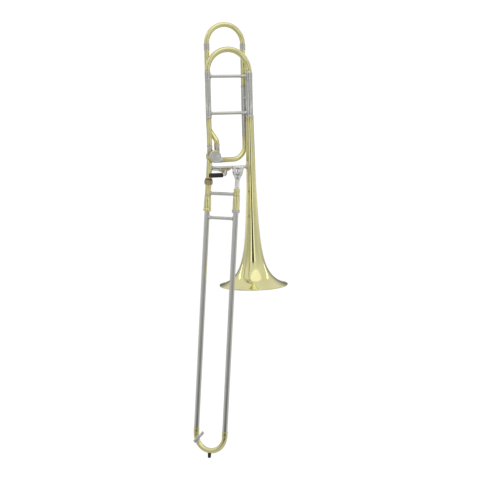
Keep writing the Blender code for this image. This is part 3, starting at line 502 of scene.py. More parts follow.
def bend_path(corners, radius, steps):
    """The straight runs between corners, with each inner corner rounded to an arc."""
    corners = [Vector(corner) for corner in corners]
    path = [corners[0]]
    for before, corner, after in zip(corners, corners[1:], corners[2:]):
        arriving = (corner - before).normalized()
        leaving = (after - corner).normalized()
        turn = arriving.angle(leaving)
        axis = arriving.cross(leaving).normalized()
        start = corner - arriving * radius * sin(turn / 2) / cos(turn / 2)
        centre = start + axis.cross(arriving) * radius
        for step in range(steps + 1):
            path.append(centre + Matrix.Rotation(turn * step / steps, 3, axis) @ (start - centre))
    path.append(corners[-1])
    return path


def bow_path(left_x, right_x, height, leg, upwards):
    """A half circle from left to right, with a straight leg at each end."""
    centre = Vector(((left_x + right_x) / 2, 0, height))
    radius = (right_x - left_x) / 2
    path = [Vector((left_x, 0, height - leg * upwards))]
    for step in range(BEND_STEPS + 1):
        angle = pi * step / BEND_STEPS
        path.append(centre + radius * Vector((-cos(angle), 0, sin(angle) * upwards)))
    path.append(Vector((right_x, 0, height - leg * upwards)))
    return path


def carve(piece, axes, radius, depth):
    """Cuts a cylinder along the axes' Z out of a piece."""
    profile = [(0.0, -depth), (radius, -depth), (radius, depth), (0.0, depth)]
    cutter = add_object("cutter", finished_mesh(turned(profile, 96), "cutter"))
    cutter.matrix_world = axes
    modifier = piece.modifiers.new("carve", "BOOLEAN")
    modifier.operation = "DIFFERENCE"
    modifier.solver = "EXACT"
    modifier.object = cutter
    bpy.context.view_layer.update()
    evaluated = piece.evaluated_get(bpy.context.evaluated_depsgraph_get())
    piece.data = bpy.data.meshes.new_from_object(evaluated)
    piece.modifiers.clear()
    bpy.data.objects.remove(cutter)


def plate(outline, front, back, bevel):
    """A flat plate with rounded edges: its outline is (x, z) points, its thickness is along Y."""
    builder = bmesh.new()
    face = builder.faces.new([builder.verts.new((x, front, z)) for x, z in outline])
    extruded = bmesh.ops.extrude_face_region(builder, geom=[face])
    moved = [item for item in extruded["geom"] if isinstance(item, bmesh.types.BMVert)]
    bmesh.ops.translate(builder, vec=(0, back - front, 0), verts=moved)
    edge_layer = builder.verts.layers.float.new("edge")
    old = set(builder.verts)
    bmesh.ops.bevel(builder, geom=builder.edges[:], offset=bevel, segments=3, profile=0.5,
                    affect="EDGES", clamp_overlap=True)
    for vertex in builder.verts:
        vertex[edge_layer] = 0.0 if vertex in old else 0.6
    return builder


def smooth_outline(points, steps=5):
    """A closed outline through the points, as a smooth curve."""
    points = [Vector(point) for point in points]
    count = len(points)
    curve = []
    for index in range(count):
        a, b, c, d = (points[(index + offset) % count] for offset in (-1, 0, 1, 2))
        for step in range(steps):
            t = step / steps
            curve.append(0.5 * (
                2 * b + (c - a) * t + (2 * a - 5 * b + 4 * c - d) * t**2
                + (3 * b - a - 3 * c + d) * t**3
            ))
    return curve


def soften(node, width, place):
    """A small CAD node's own shape with its edges rounded off."""
    builder = bmesh.new()
    builder.from_mesh(frame["nodes"][node].data)
    bmesh.ops.transform(builder, matrix=place.inverted(), verts=builder.verts)
    bmesh.ops.remove_doubles(builder, verts=builder.verts, dist=1e-6)
    bmesh.ops.dissolve_limit(builder, angle_limit=radians(1), verts=builder.verts, edges=builder.edges)
    sharp = [e for e in builder.edges if len(e.link_faces) == 2 and e.calc_face_angle() > radians(40)]
    bmesh.ops.bevel(builder, geom=sharp, offset=width, segments=3, profile=0.5, affect="EDGES",
                    clamp_overlap=True)
    stand_for(node, builder, place)


# --- Bell section ---


def bell_radius(height):
    """The bell's outer radius at a height: it narrows from the rim to the throat."""
    mouth = span("bell_rim")[1].x - BELL_THROAT
    return BELL_THROAT + mouth * BELL_FLARE / (height + BELL_FLARE)


def make_bell():
    """The flared bell, with its sheet turned into a rolled rim."""
    rim_low, rim_high = span("bell_rim")
    radius = rim_high.x
    rim_height = rim_high.z - rim_low.z
    rim_width = 0.0024
    lift = rim_height / 3
    opening = radius - BELL_THROAT
    low = opening * BELL_FLARE / (radius - rim_width * 0.6 - BELL_THROAT) - BELL_FLARE
    high = span("bell")[1].z - lift
    steps = 84
    ratio = ((high + BELL_FLARE) / (low + BELL_FLARE)) ** (1 / steps)
    outside, inside = [], []
    for step in range(steps + 1):
        height = (low + BELL_FLARE) * ratio**step - BELL_FLARE
        size = bell_radius(height)
        slope = opening * BELL_FLARE / (height + BELL_FLARE) ** 2
        length = sqrt(1 + slope**2)
        seam = max(0.0, (height - high + SEAM_REACH) / SEAM_REACH)
        outside.append((size, height + lift, 0.0, seam))
        inside.append((size - SHEET / length, height + lift - SHEET * slope / length))
    stand_for("bell", turned(outside + inside[::-1], BELL_SIDES))

    # The rim wire is an upright oval.
    section = []
    for step in range(20):
        angle = 2 * pi * step / 20 - pi / 2
        across = radius - rim_width / 2 + rim_width / 2 * cos(angle)
        section.append((across, rim_height / 2 * (1 + sin(angle)), 0.0, 0.25 if cos(angle) < 0 else 0.0))
    stand_for("bell_rim", turned(section, BELL_SIDES))


def make_tuning_sleeves():
    """The two outer sleeves of the tuning slide, each with a stepped collar at its foot."""
    for node, axes, sleeve in (
        ("bell_sleeve", WORLD, BELL_SLEEVE_RADIUS),
        ("neck_sleeve", NECK, NECK_SLEEVE_RADIUS),
    ):
        collar = node_round(node, axes)[0]
        bore = sleeve - SHEET
        stand_round(node, axes, [
            (bore, 0), (collar, 0, EDGE, 0.9), (collar, 0.0018, EDGE, 0.1),
            (collar - 0.0003, 0.0023, EDGE, 0.4), (collar - 0.0003, 0.005, EDGE, 0.1),
            (sleeve, 0.0066, EDGE, 0.9), (sleeve, 0.012),
        ], [
            (sleeve, 0.0062), (sleeve + 0.00025, 0.0056, EDGE / 2, 0.3),
            (sleeve + 0.00025, 0, EDGE, 0.3), (bore, 0, EDGE / 2),
        ])


def make_neck_tubes():
    """The gooseneck, the ferrules on the valve's ports, and the neckpipe below the valve."""
    stand_tube("gooseneck", NECK, F_WALL, 1.0)
    for node, axes in (
        ("gooseneck_ferrule", NECK),
        ("f_port_ferrule", upright_axis("f_port_ferrule")),
    ):
        radius = node_round(node, axes)[0]
        stand_round(node, axes, [
            (radius - 0.0016, 0), (radius - 0.0003, 0, 0.0, 0.9),
        ], [
            (radius - 0.0003, 0.0052, EDGE, 0.1), (radius, 0.0046, EDGE),
            (radius, 0, EDGE, 0.5), (radius - 0.0016, 0, EDGE / 2),
        ], cut=CASING_CUT)

    shoulder = NECKPIPE_SHOULDER - span("neckpipe", SLIDE)[0].z
    stand_round("neckpipe", SLIDE, [
        (0.0063, 0, EDGE / 2), (0.007, 0, EDGE), (0.007, shoulder, 0.0, 0.6),
        (NECKPIPE_RADIUS, shoulder, EDGE, 0.6), (NECKPIPE_RADIUS, shoulder + 0.004),
    ], [
        (NECKPIPE_RADIUS, 0.012), (NECKPIPE_RADIUS, -0.002, 0.0, 0.8), (0.0063, -0.002),
    ], cut=CASING_CUT)


def make_brace(node, start, end, tubes, rod, flange, axes=WORLD):
    """A round stay between two tubes' axes, drawn out in a smooth curve to a flange on each tube.
    tubes gives the two tubes' radii."""
    start, end = Vector(start), Vector(end)
    length = (end - start).length
    near, far = tubes[0] + 0.0012, length - tubes[1] - 0.0012
    flare = min(0.005, (far - near) * 0.42)
    curve = 7
    fillet = []
    for step in range(curve + 1):
        share = step / curve
        fillet.append((rod + (flange - 0.0007 - rod) * (1 - share) ** 2.4, 0.0003 + flare * share))
    profile = [
        (0.0, tubes[0] * 0.5), (flange, tubes[0] * 0.5, 0.0, 0.9), (flange, near, EDGE, 0.5),
        *((radius, near + distance) for radius, distance in fillet),
        *((radius, far - distance) for radius, distance in fillet[::-1]),
        (flange, far, EDGE, 0.5), (flange, length - tubes[1] * 0.5, 0.0, 0.9),
        (0.0, length - tubes[1] * 0.5),
    ]
    turn = Vector((0, 0, 1)).rotation_difference(end - start).to_matrix().to_4x4()
    stand_for(node, turned(profile, ROD_SIDES), axes @ Matrix.Translation(start) @ turn)


def make_braces():
    """The bell section's two braces and the two short stays of the F attachment."""
    level = middle("upper_brace").z
    make_brace("upper_brace", (NECK.translation.x, 0, level), (0, 0, level),
               (NECK_SLEEVE_RADIUS, BELL_SLEEVE_RADIUS), 0.0045, 0.0058)

    level = middle("lower_brace").z
    slide_up = SLIDE.to_3x3() @ Vector((0, 0, 1))
    neck_point = SLIDE.translation + slide_up * ((level - SLIDE.translation.z) / slide_up.z)
    make_brace("lower_brace", neck_point, (0, 0, level), (NECKPIPE_RADIUS, bell_radius(level)),
               0.0042, 0.007)

    for node, start, f_axis, radius in (
        ("f_stay_left", NECK, F_LEFT, NECK_SLEEVE_RADIUS),
        ("f_stay_right", WORLD, F_RIGHT, BELL_SLEEVE_RADIUS),
    ):
        height = Vector((0, 0, middle(node).z))
        make_brace(node, start.translation + height, f_axis.translation + height,
                   (radius, 0.0078), 0.0035, 0.005)


# --- F attachment and rotary valve ---


def make_f_tubes():
    """The F attachment's riser, its two sleeves and the lower bend back to the valve."""
    port = upright_axis("f_port_ferrule").translation
    port_top = span("f_port_ferrule")[1].z
    left_foot = span("f_sleeve_left")[0].z
    left = F_LEFT.translation
    riser = bend_path([
        (port.x, port.y, port_top - SOLDER), (port.x, port.y, port_top + 0.01),
        (left.x, left.y, left_foot - 0.012), (left.x, left.y, left_foot + SOLDER),
    ], F_RISER_RADIUS, 20)
    across = Vector((left.x - port.x, left.y - port.y, 0)).cross(Vector((0, 0, 1)))
    stand_for("f_riser", swept(riser, (F_TUBE_RADIUS, F_TUBE_RADIUS), F_WALL, across))

    for node, axes in (("f_sleeve_left", F_LEFT), ("f_sleeve_right", F_RIGHT)):
        radius = node_round(node, axes)[0]
        stand_round(node, axes, [
            (radius - SHEET, 0), (radius + 0.0002, 0, EDGE, 0.9),
            (radius + 0.0002, 0.005, EDGE, 0.2), (radius - 0.0001, 0.0056, EDGE, 0.4),
        ], [
            (radius - 0.0001, 0.0056, EDGE), (radius + 0.0002, 0.005, EDGE, 0.2),
            (radius + 0.0002, 0, EDGE, 0.3), (radius - SHEET, 0, EDGE / 2),
        ])

    right = F_RIGHT.translation
    run_z = span("f_lower_bend")[0].z + F_TUBE_RADIUS
    to_bend = Vector((right.x - ROTOR.x, right.y, 0)).normalized()
    run_start = ROTOR + to_bend * F_RUN_START
    bend = bend_path([
        (right.x, right.y, span("f_sleeve_right")[0].z + SOLDER),
        (right.x, right.y, run_z), (run_start.x, run_start.y, run_z),
    ], F_BEND_RADIUS, 40)
    across = to_bend.cross(Vector((0, 0, 1)))
    stand_for("f_lower_bend", swept(bend, (F_TUBE_RADIUS, F_TUBE_RADIUS), F_WALL, across))

    turn = Vector((0, 0, 1)).rotation_difference(to_bend).to_matrix().to_4x4()
    axes = Matrix.Translation((ROTOR.x, ROTOR.y, run_z)) @ turn
    ferrule = turned([
        (0.0064, 0.004), (0.0077, 0.004, 0.0, 0.9), (0.0077, 0.0228, EDGE, 0.1),
        (0.008, 0.0234, EDGE), (0.008, 0.028, EDGE, 0.5), (0.0064, 0.028, EDGE / 2),
    ])
    stand_for("f_run_ferrule", ferrule, axes, cut=CASING_CUT)


def make_valve():
    """The casing with a rim at each end, and the screwed cap, bearing plate, rotor and stops."""
    radius = node_round("rotor_casing", CASING)[0]
    rim = 0.003
    end = [
        (0.0138, 0), (radius, 0, EDGE * 1.6, 0.2), (radius, rim, EDGE, 0.2),
        (radius - 0.0006, rim + 0.0006, EDGE, 0.5),
    ]
    stand_round("rotor_casing", CASING, end, end[::-1], 96)

    radius, front, back = node_round("rotor_cap", CASING)
    depth = 0.0004
    stand_round("rotor_cap", CASING, [
        (0.0, depth * 2, 0.0, 0.7), (0.0007, depth * 2, 0.0002, 0.7),
        (0.001, depth, 0.0003), (radius - 0.003, depth, 0.0004, 0.3),
        (radius - 0.0024, 0, 0.0004), (radius - 0.0012, 0, 0.0007), (radius, 0.001, 0.0002),
    ], [
        (radius, 0.0006, 0.0, 0.3), (radius, 0, 0.0, 0.7), (0.0, 0),
    ], 192, (48, 0.00022, front + 0.0012, back - 0.0002))

    radius = node_round("bearing_plate", CASING)[0]
    stand_round("bearing_plate", CASING, [
        (0.0033, 0), (radius, 0, EDGE, 0.4),
    ], [
        (radius, 0, EDGE * 1.5), (0.0075, 0, 0.0002, 0.3), (0.007, 0.0005, 0.0002, 0.5),
        (0.0033, 0.0005, 0.0002, 0.3),
    ])
    soften("rotor_core", 0.0002, CASING)
    soften("stop_arm", 0.0004, CASING)
    for node in ("stop_bumper_rest", "stop_bumper_open"):
        stand_post(node, EDGE * 2, ALONG_Y)


# --- Thumb lever ---


def make_lever():
    """The bracket under the brace, the lever with its rubber pad, and the linkage behind."""
    axes = Matrix.Translation(PIVOT)
    low, high = span("trigger_bracket", axes)
    top = high.z
    outline = [
        (low.x, top), (low.x, -0.0035), (-0.003, low.z), (0.003, low.z),
        (0.007, -0.0015), (high.x, top - 0.0018), (high.x, top),
    ]
    stand_for("trigger_bracket", plate(outline, low.y, high.y, 0.0007), axes)

    # The arm is a curved strip from the shaft down to the pad, with a screw boss at the shaft.
    low, high = span("trigger_arm", axes)
    outline = smooth_outline([
        (-0.003, high.z - 0.0004), (-0.004, -0.006), (low.x + 0.001, low.z + 0.0064),
        (low.x, low.z + 0.0034), (low.x + 0.0006, low.z + 0.0008),
        (-0.002, low.z + 0.0002), (0.0024, low.z + 0.005), (high.x - 0.0002, -0.001),
        (0.0026, high.z - 0.0006),
    ])
    stand_for("trigger_arm", plate(outline, low.y, high.y, 0.0006), axes, crease=PLATE_CREASE)

    pad = middle("thumb_pad")
    pad_low, pad_high = span("thumb_pad")
    radius = (pad_high.z - pad_low.z) / 2
    length = pad_high.x - pad_low.x
    profile = [(0.0, 0.0), (radius - 0.0004, 0.0, 0.0022)]
    ribs = 9
    margin = 0.0055
    for rib in range(ribs):
        start = margin + (length - 2 * margin) * rib / ribs
        pitch = (length - 2 * margin) / ribs
        profile.append((radius, start + pitch * 0.12, 0.0003))
        profile.append((radius, start + pitch * 0.72, 0.0003))
        profile.append((radius - 0.00022, start + pitch * 0.86, 0.0002))
    profile += [(radius, length - margin), (radius - 0.0004, length, 0.0022), (0.0, length)]
    place = Matrix.Translation((pad_low.x, pad.y, pad.z)) @ ALONG_X
    stand_for("thumb_pad", turned(profile, ROD_SIDES), place)
    soften("trigger_rocker", 0.0003, axes)
    soften("link_rod", 0.0002, axes)
    make_spring()


def make_spring():
    """The return spring: close turns of wire round the lever's shaft."""
    axes = Matrix.Translation(PIVOT) @ ALONG_Y
    radius, front, back = node_round("trigger_spring", axes)
    wire = 0.00052
    turns = 8
    per_turn = 28
    sides = 12
    coil = radius - wire
    travel = back - front - 2 * wire
    rings = []
    for step in range(turns * per_turn + 1):
        angle = 2 * pi * step / per_turn
        outward = Vector((cos(angle), sin(angle), 0))
        centre = outward * coil + Vector((0, 0, front + wire + travel * step / (turns * per_turn)))
        ring = [2 * pi * side / sides for side in range(sides)]
        rings.append([centre + wire * (cos(a) * outward + sin(a) * Vector((0, 0, 1))) for a in ring])
    builder = bmesh.new()
    add_rings(builder, rings, [(0.0, 0.0)] * len(rings), False)
    builder.verts.ensure_lookup_table()
    builder.faces.new(builder.verts[:sides])
    builder.faces.new(builder.verts[-sides:])
    stand_for("trigger_spring", builder, axes)


# --- Tuning slides ---


def make_tuning_slide():
    """The main tuning slide: a bow that widens towards the bell, its legs, ferrules and brace."""
    foot = span("tuning_bow")[0].z
    height = span("tuning_ferrule_neck")[1].z
    path = bow_path(NECK.translation.x, 0.0, height, height - foot, 1)
    stand_for("tuning_bow", swept(path, BOW_RADII, BOW_WALL, (0, 1, 0)))
    for side, axes, tube in (("neck", NECK, BOW_RADII[0]), ("bell", WORLD, BOW_RADII[1])):
        stand_tube(f"tuning_leg_{side}", axes, 0.0005)
        node = f"tuning_ferrule_{side}"
        radius = node_round(node, axes)[0]
        stand_round(node, axes, [
            (tube - 0.0004, 0), (radius, 0, EDGE, 0.4), (radius, 0.0022, EDGE),
            (radius - 0.0003, 0.0027, EDGE, 0.3),
        ], [
            (radius - 0.0003, 0.0078, EDGE, 0.3), (radius, 0.0072, EDGE),
            (radius, 0.0042, EDGE), (tube + 0.001, 0.0016, EDGE, 0.3),
            (tube + 0.0007, 0, EDGE, 0.9), (tube - 0.0004, 0),
        ])
    level = middle("tuning_brace").z
    make_brace("tuning_brace", (NECK.translation.x, 0, level), (0, 0, level),
               (0.0085, 0.0109), 0.0045, 0.0062)


def make_f_slide():
    """The F attachment's tuning slide: an even bow, its legs and ferrules."""
    foot = span("f_bow")[0].z
    height = span("f_ferrule_left")[1].z
    path = bow_path(F_LEFT.translation.x, F_RIGHT.translation.x, height, height - foot, 1)
    axes = Matrix.Translation((0, F_LEFT.translation.y, 0))
    stand_for("f_bow", swept(path, (F_TUBE_RADIUS, F_TUBE_RADIUS), BOW_WALL, (0, 1, 0)), axes)
    for side, axes in (("left", F_LEFT), ("right", F_RIGHT)):
        node = f"f_leg_{side}"
        radius, bottom, _ = node_round(node, axes)
        step = span(f"f_sleeve_{side}")[1].z + 0.0003 - bottom
        inside = radius - 0.00045
        stand_round(node, axes, [
            (0.0062, 0, EDGE / 2), (inside, 0, EDGE), (inside, step - 0.0003),
            (radius, step, EDGE, 0.8), (radius, step + SEAM_REACH),
        ], [
            (radius, SEAM_REACH), (radius, -SOLDER, 0.0, 0.8), (0.0062, -SOLDER),
        ])
        stand_ferrule(f"f_ferrule_{side}", axes, 0.0071)


# --- Slide section ---


def make_lock_nut():
    """The neck joint's nut: a dark collar over a fluted grip that bulges between two rings."""
    radius, bottom, _ = node_round("lock_nut", SLIDE)
    bore = 0.0074
    grip_low, grip_high = 0.0052, 0.0118
    from_foot = [
        (bore, 0), (radius - 0.0024, 0, EDGE, 0.4), (radius - 0.0008, 0.0018, EDGE),
        (radius - 0.0003, 0.004, EDGE), (radius - 0.0009, 0.0046, 0.0002, 0.8),
    ]
    steps = 9
    for step in range(steps + 1):
        share = step / steps
        bulge = 0.0006 * (1 - (2 * share - 1) ** 2)
        from_foot.append((radius - 0.0006 + bulge, grip_low + (grip_high - grip_low) * share))
    from_foot += [
        (radius - 0.0009, grip_high + 0.0005, 0.0002, 1.0),
        (radius - 0.001, grip_high + 0.0016, EDGE, 1.5),
        (radius - 0.0021, grip_high + 0.0028, EDGE, 1.5),
    ]
    stand_round("lock_nut", SLIDE, from_foot, [
        (radius - 0.0018, 0.003, EDGE, 1.5), (radius - 0.0016, 0.001, EDGE, 0.8),
        (radius - 0.0024, 0, EDGE, 0.7), (bore, 0),
    ], 200, (40, 0.00055, bottom + grip_low + 0.0002, bottom + grip_high - 0.0002))


def make_barrels():
    """The two grip barrels over the tops of the inner slide tubes, and the slide's lock ring."""
    ring = 0.0111
    stand_round("neck_barrel", SLIDE, [
        (0.0074, 0.03), (0.0081, 0.03), (0.0081, 0, EDGE / 2, 0.3),
        (ring - 0.0004, 0, EDGE, 0.2), (ring, 0.001, EDGE), (ring, 0.007, EDGE * 1.5),
        (0.0101, 0.0082, EDGE, 0.8), (0.0101, 0.014),
    ], [
        (0.0099, 0.04, 0.004), (0.0089, 0.03, 0.004), (0.0085, 0.02),
        (0.0084, 0.0046, EDGE), (0.0086, 0.004, EDGE), (0.0086, 0, EDGE, 0.5),
        (0.0073, 0, EDGE / 2), (0.0073, 0.033), (0.0074, 0.034),
    ])
    stand_round("mouthpiece_barrel", RIGHT_TUBE, [
        (0.0074, 0.03), (0.0081, 0.03), (0.0081, 0, EDGE / 2, 0.3),
        (0.0098, 0, EDGE, 0.4), (0.0098, 0.01),
    ], [
        (0.0098, 0.028, 0.004), (0.0088, 0.021, 0.004), (0.0083, 0.0085, EDGE, 0.5),
        (0.0086, 0.007, EDGE), (0.0086, 0.0024, EDGE), (0.0082, 0, EDGE, 0.4),
        (0.0061, 0, EDGE / 2, 0.6), (0.006, 0.024), (0.0074, 0.025),
    ])

    lock_low, lock_high = span("slide_lock", RIGHT_TUBE)
    radius = (lock_high.x - lock_low.x) / 2
    flutes = (44, 0.0003, lock_low.z + 0.0042, lock_high.z - 0.0008)
    ring = turned([
        (0.0101, lock_low.z + 0.0028, EDGE / 2, 0.3),
        (radius, lock_low.z + 0.0028, EDGE, 0.3), (radius, lock_low.z + 0.004, EDGE / 2),
        (radius, lock_high.z - 0.0008, EDGE / 2), (radius, lock_high.z, EDGE, 0.2),
        (0.0101, lock_high.z, EDGE / 2),
    ], 132, flutes)
    lug = plate([
        (-0.003, lock_low.z), (0.003, lock_low.z),
        (0.003, lock_high.z - 0.0016), (-0.003, lock_high.z - 0.0016),
    ], lock_low.y, -0.0103, 0.0007)
    lug_mesh = bpy.data.meshes.new("lug")
    lug.to_mesh(lug_mesh)
    lug.free()
    ring.from_mesh(lug_mesh)
    bpy.data.meshes.remove(lug_mesh)
    stand_for("slide_lock", ring, RIGHT_TUBE)


def make_slide_tubes():
    """The inner tubes with their thicker stockings, the outer tubes, their ferrules and braces."""
    for side, axes in (("left", SLIDE), ("right", RIGHT_TUBE)):
        node = f"inner_tube_{side}"
        radius = node_round(node, axes)[0]
        shank = radius - 0.00005
        stocking = 0.12
        stand_round(node, axes, [
            (radius - 0.0005, 0, EDGE / 2), (radius, 0, EDGE), (radius, stocking),
            (shank, stocking + 0.001, 0.0, 0.5),
        ], [
            (shank, 0), (radius - 0.0005, 0),
        ])
        node = f"outer_tube_{side}"
        radius = node_round(node, axes)[0]
        band = 0.006
        stand_round(node, axes, [
            (radius - 0.0004, 0, EDGE / 2, 0.8), (radius, 0, EDGE / 2, 0.9), (radius, SEAM_REACH),
        ], [
            (radius, band + 0.0006), (radius + 0.0003, band, EDGE / 2),
            (radius + 0.0003, 0, EDGE / 2), (radius - 0.0004, 0, EDGE / 2),
        ])
        stand_ferrule(f"crook_ferrule_{side}", axes, 0.0074)
    for node, tube, rod, flange in (
        ("inner_brace", 0.0087, 0.0046, 0.0056),
        ("outer_brace", 0.0075, 0.0045, 0.0064),
    ):
        level = middle(node, SLIDE).z
        make_brace(node, (0, 0, level), (SLIDE_WIDTH, 0, level), (tube, tube), rod, flange, SLIDE)


def make_mouthpiece():
    """Its profile runs from the shank's end up the bore and cup, over the rim and down outside."""
    stand_round("mouthpiece", RIGHT_TUBE, [
        (0.0052, 0, 0.0003, 0.2), (0.004, 0),
    ], [
        (0.0028, 0.045, 0.004), (0.0034, 0.031, 0.004), (0.0085, 0.023, 0.004, 0.3),
        (0.0115, 0.012, 0.004, 0.1), (0.0126, 0.001, 0.0012), (0.0142, 0, 0.001),
        (0.016, 0, 0.0012), (0.0175, 0.0022, 0.0014), (0.0172, 0.005, 0.0014),
        (0.0156, 0.0085, 0.003), (0.015, 0.017, 0.005), (0.0128, 0.024, 0.005),
        (0.009, 0.031, 0.004), (0.007, 0.037, 0.0025, 0.2),
        (0.0061, 0.0408, 0.0012, 0.3), (0.0064, 0.059, 0.001), (0.0058, 0.0612, 0.001, 0.6),
    ], 112)


def make_crook():
    """The bow at the foot of the outer slide, with the rubber bumper under it."""
    height = span("crook_ferrule_left", SLIDE)[0].z
    leg = span("crook", SLIDE)[1].z - height
    path = bow_path(0.0, SLIDE_WIDTH, height, leg, -1)
    stand_for("crook", swept(path, (CROOK_RADIUS, CROOK_RADIUS), 0.0008, (0, 1, 0)), SLIDE)

    under = SLIDE @ Matrix.Translation((SLIDE_WIDTH / 2, 0, 0))
    radius = node_round("rubber_bumper", under)[0]
    stand_round("rubber_bumper", under, [
        (0.0, 0), (radius * 0.7, 0, 0.0008), (radius * 0.92, 0.0018, 0.001),
    ], [
        (radius * 0.94, 0.0034, EDGE), (radius, 0.0026, EDGE), (radius, -SOLDER, EDGE / 2),
        (0.0, -SOLDER),
    ], ROD_SIDES)


def water_key_axes():
    """The water key's axes at its pin: X up the lever into the U, and Z out to the front."""
    lever = SLIDE.to_3x3() @ Vector((cos(WATER_KEY_SLOPE), 0, sin(WATER_KEY_SLOPE)))
    outwards = SLIDE.to_3x3() @ Vector((0, -1, 0))
    turn = Matrix((lever, outwards.cross(lever), outwards)).transposed().to_4x4()
    return Matrix.Translation(joint_place("water_key_press")) @ turn


def make_water_key():
    """The water key: a lever with a cork over the nipple and a finger paddle inside the U."""
    axes = water_key_axes()
    low, high = span("water_key", axes)
    seat = span("water_key_cork", axes)[1].z
    strip = smooth_outline([
        (low.x, seat + 0.0004), (low.x + 0.0004, seat + 0.0016), (-0.006, 0.0029),
        (-0.002, 0.003), (0.0012, 0.0026), (0.006, 0.0022), (0.011, 0.002),
        (0.02, 0.0002), (high.x - 0.0006, 0.0006), (high.x, -0.0002), (0.025, -0.0013),
        (0.02, -0.0014), (0.011, 0.0004), (0.005, 0.0002), (0.0022, -0.0016),
        (0.0, -0.0022), (-0.002, -0.001), (-0.0045, seat + 0.001),
    ], 4)
    key = plate(strip, low.y, high.y, 0.0004)
    # The lever is narrow between the posts of the saddle, and broad at both ends.
    for vertex in key.verts:
        share = min(max((abs(vertex.co.x) - 0.003) / 0.003, 0.0), 1.0)
        vertex.co.y *= 0.66 + 0.34 * share
    stand_for("water_key", key, axes, crease=PLATE_CREASE)
    stand_post("water_key_cork", EDGE, axes)
    soften("water_key_saddle", 0.0002, axes)


# --- Studio ---


def rectangle(name, x, y, z=0.0):
    """A level rectangle about the Z axis, given half its width and depth, and its height."""
    builder = bmesh.new()
    corners = [(-x, -y, z), (x, -y, z), (x, y, z), (-x, y, z)]
    builder.faces.new([builder.verts.new(corner) for corner in corners])
    return finished_mesh(builder, name)


def make_floor():
    """A wide pale floor, low enough that the hand slide can be pulled right out above it."""
    height = cad_box[0].z - joints["hand_slide"]["range_m"][1] - 0.02
    half = 40.0
    mesh = rectangle("floor", half, half, height)
    keep_own_place(mesh)
    floor = add_object("floor", mesh)
    shading = Shading("pale_floor")
    tone = shading.between(shading.noise(1.5, 2.0), 0.3, 0.7)
    colour = shading.mixed(tone, (0.935, 0.935, 0.935), (0.925, 0.925, 0.925))
    roughness = shading.between(shading.noise(6.0), 0.3, 0.7, 0.8, 0.9)
    grain = shading.bump(shading.noise(300.0), 0.05, 0.0005)
    floor.data.materials.append(shading.finish(colour, roughness, grain, 0.0, Specular_IOR_Level=0.1))
    return height


def make_card(name, centre, size, shade, stands=False, rim_shade=None):
    """A plain card that only reflections see: it gives the polished metal something to mirror.
    It lies level or stands facing the instrument, and may change shade from centre to rim."""
    x, y = size[0] / 2, size[1] / 2
    card = add_object(name, rectangle(name, x, y))
    turn = Matrix.Rotation(CAMERA_AZIMUTH, 4, "Z")
    if stands:
        turn = turn @ Matrix.Rotation(pi / 2, 4, "X")
    card.matrix_world = Matrix.Translation(centre) @ turn
    material = bpy.data.materials.new(name)
    material.use_nodes = True
    nodes = Nodes(material.node_tree)
    nodes.tree.nodes.remove(nodes.tree.nodes["Principled BSDF"])
    tone = (shade, shade, shade, 1)
    if rim_shade is not None:
        place = nodes.add("TexCoord").outputs["Object"]
        scaled = nodes.add("Mapping", Scale=(1 / x, 1 / y, 1), Vector=place)
        distance = nodes.add("VectorMath", Vector=scaled.outputs["Vector"])
        distance.operation = "LENGTH"
        tone = nodes.between(distance.outputs["Value"], 0.0, 1.0, shade, rim_shade)
    glow = nodes.add("Emission", Color=tone)
    nodes.link(glow.outputs["Emission"], nodes.tree.nodes["Material Output"].inputs["Surface"])
    card.data.materials.append(material)
    card.visible_camera = False
    card.visible_diffuse = False
    card.visible_shadow = False


def make_world():
    """A plain white studio. Polished metal mirrors its walls, which are lighter and darker in
    upright bands round the horizon and even overhead."""
    world = bpy.data.worlds.new("studio")
    bpy.context.scene.world = world
    world.use_nodes = True
    world.node_tree.nodes.clear()
    nodes = Nodes(world.node_tree)
    direction = nodes.add("TexCoord").outputs["Generated"]
    radial = nodes.add("TexGradient", Vector=direction)
    radial.gradient_type = "RADIAL"
    bands = nodes.add("ValToRGB", Fac=radial.outputs["Fac"])
    ramp = bands.color_ramp
    stops = [
        (0.0, 0.56), (0.07, 0.47), (0.125, 0.56), (0.142, 0.98), (0.172, 0.98), (0.18, 0.06),
        (0.22, 0.06), (0.228, 0.92), (0.25, 0.9), (0.272, 0.6), (0.355, 0.58), (0.44, 0.7),
        (0.54, 0.56), (0.6, 0.36), (0.655, 0.2), (0.7, 0.1), (0.745, 0.2), (0.8, 0.42),
        (0.87, 0.62), (1.0, 0.56),
    ]
    while len(ramp.elements) < len(stops):
        ramp.elements.new(0.5)
    for element, (place, shade) in zip(ramp.elements, stops):
        element.position = place
        element.color = (shade, shade, shade, 1)
    rise = nodes.between(nodes.add("SeparateXYZ", Vector=direction).outputs["Z"], 0.15, 0.55)
    walls = nodes.mixed(rise, bands.outputs["Color"], (0.8, 0.8, 0.79))
    plain = nodes.add("Background", Color=(1, 1, 1, 1), Strength=1.1)
    mirrored = nodes.add("Background", Color=walls)
    seen = nodes.add("MixShader", Fac=nodes.add("LightPath").outputs["Is Glossy Ray"])
    nodes.link(plain.outputs["Background"], seen.inputs[1])
    nodes.link(mirrored.outputs["Background"], seen.inputs[2])
    nodes.add("OutputWorld", Surface=seen.outputs["Shader"])


def make_light(name, place, target, size, power, shape="RECTANGLE"):
    light = bpy.data.lights.new(name, "AREA")
    light.shape = shape
    light.size, light.size_y = size
    light.energy = power
    lamp = add_object(name, light)
    lamp.location = place
    lamp.rotation_euler = (Vector(target) - Vector(place)).to_track_quat("-Z", "Y").to_euler()


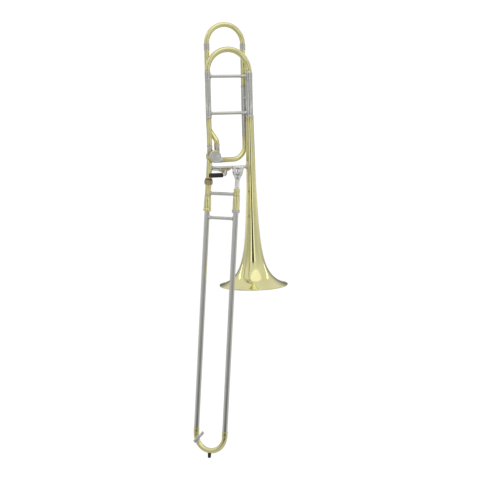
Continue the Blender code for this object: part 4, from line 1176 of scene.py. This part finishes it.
def make_lights():
    make_light("overhead", (0.2, -1.7, 3.2), (0.0, 0.0, 0.0), (3.3, 3.3), 9, "ELLIPSE")
    make_light("left_softbox", (-2.6, 2.5, 2.0), (0.0, 0.0, 0.1), (0.5, 2.4), 5)
    make_light("right_softbox", (3.4, 0.5, 1.9), (0.0, 0.0, 0.1), (0.5, 2.4), 5)


CAMERA_AZIMUTH = radians(-18)
CAMERA_ELEVATION = radians(6.5)
CAMERA_ROLL = radians(-1.45)
CAMERA_DISTANCE = 3.0
CAMERA_LENS = 76.8
AIM_LEFT = 0.04
AIM_ABOVE = 0.1324


def make_camera():
    """The camera looks slightly down at the instrument, from left of its front. It is aimed left
    of and above the bell's mouth, and tilted a little to one side."""
    back = Vector((
        sin(CAMERA_AZIMUTH) * cos(CAMERA_ELEVATION),
        -cos(CAMERA_AZIMUTH) * cos(CAMERA_ELEVATION),
        sin(CAMERA_ELEVATION),
    ))
    level = Vector((cos(CAMERA_AZIMUTH), sin(CAMERA_AZIMUTH), 0))
    upright = back.cross(level)
    right = level * cos(CAMERA_ROLL) + upright * sin(CAMERA_ROLL)
    up = upright * cos(CAMERA_ROLL) - level * sin(CAMERA_ROLL)
    data = bpy.data.cameras.new("camera")
    data.lens = CAMERA_LENS
    data.clip_start = 0.05
    data.clip_end = 200.0
    camera = add_object("camera", data)
    aim = up * AIM_ABOVE - right * AIM_LEFT
    turn = Matrix((right, up, back)).transposed().to_4x4()
    camera.matrix_world = Matrix.Translation(aim + back * CAMERA_DISTANCE) @ turn
    bpy.context.scene.camera = camera


# --- Build ---

make_bell()
make_tuning_sleeves()
make_neck_tubes()
make_braces()
make_f_tubes()
make_valve()
make_lever()
make_tuning_slide()
make_f_slide()
make_lock_nut()
make_barrels()
make_slide_tubes()
make_mouthpiece()
make_crook()
make_water_key()

floor_height = make_floor()
make_card("floor_card", (0.0, 0.0, floor_height + 0.001), (44.0, 44.0), 0.58)
make_card("front_card", (-0.37, -1.14, -0.62), (7.0, 1.24), 0.08, stands=True, rim_shade=0.75)
make_card("white_wall", (-1.33, -4.09, 0.72), (4.2, 2.4), 1.15, stands=True)
make_card("dark_gap", (-1.3, -3.99, 0.72), (1.7, 2.4), 0.04, stands=True)
make_world()
make_lights()
make_camera()
bpy.context.scene.view_settings.view_transform = "Standard"
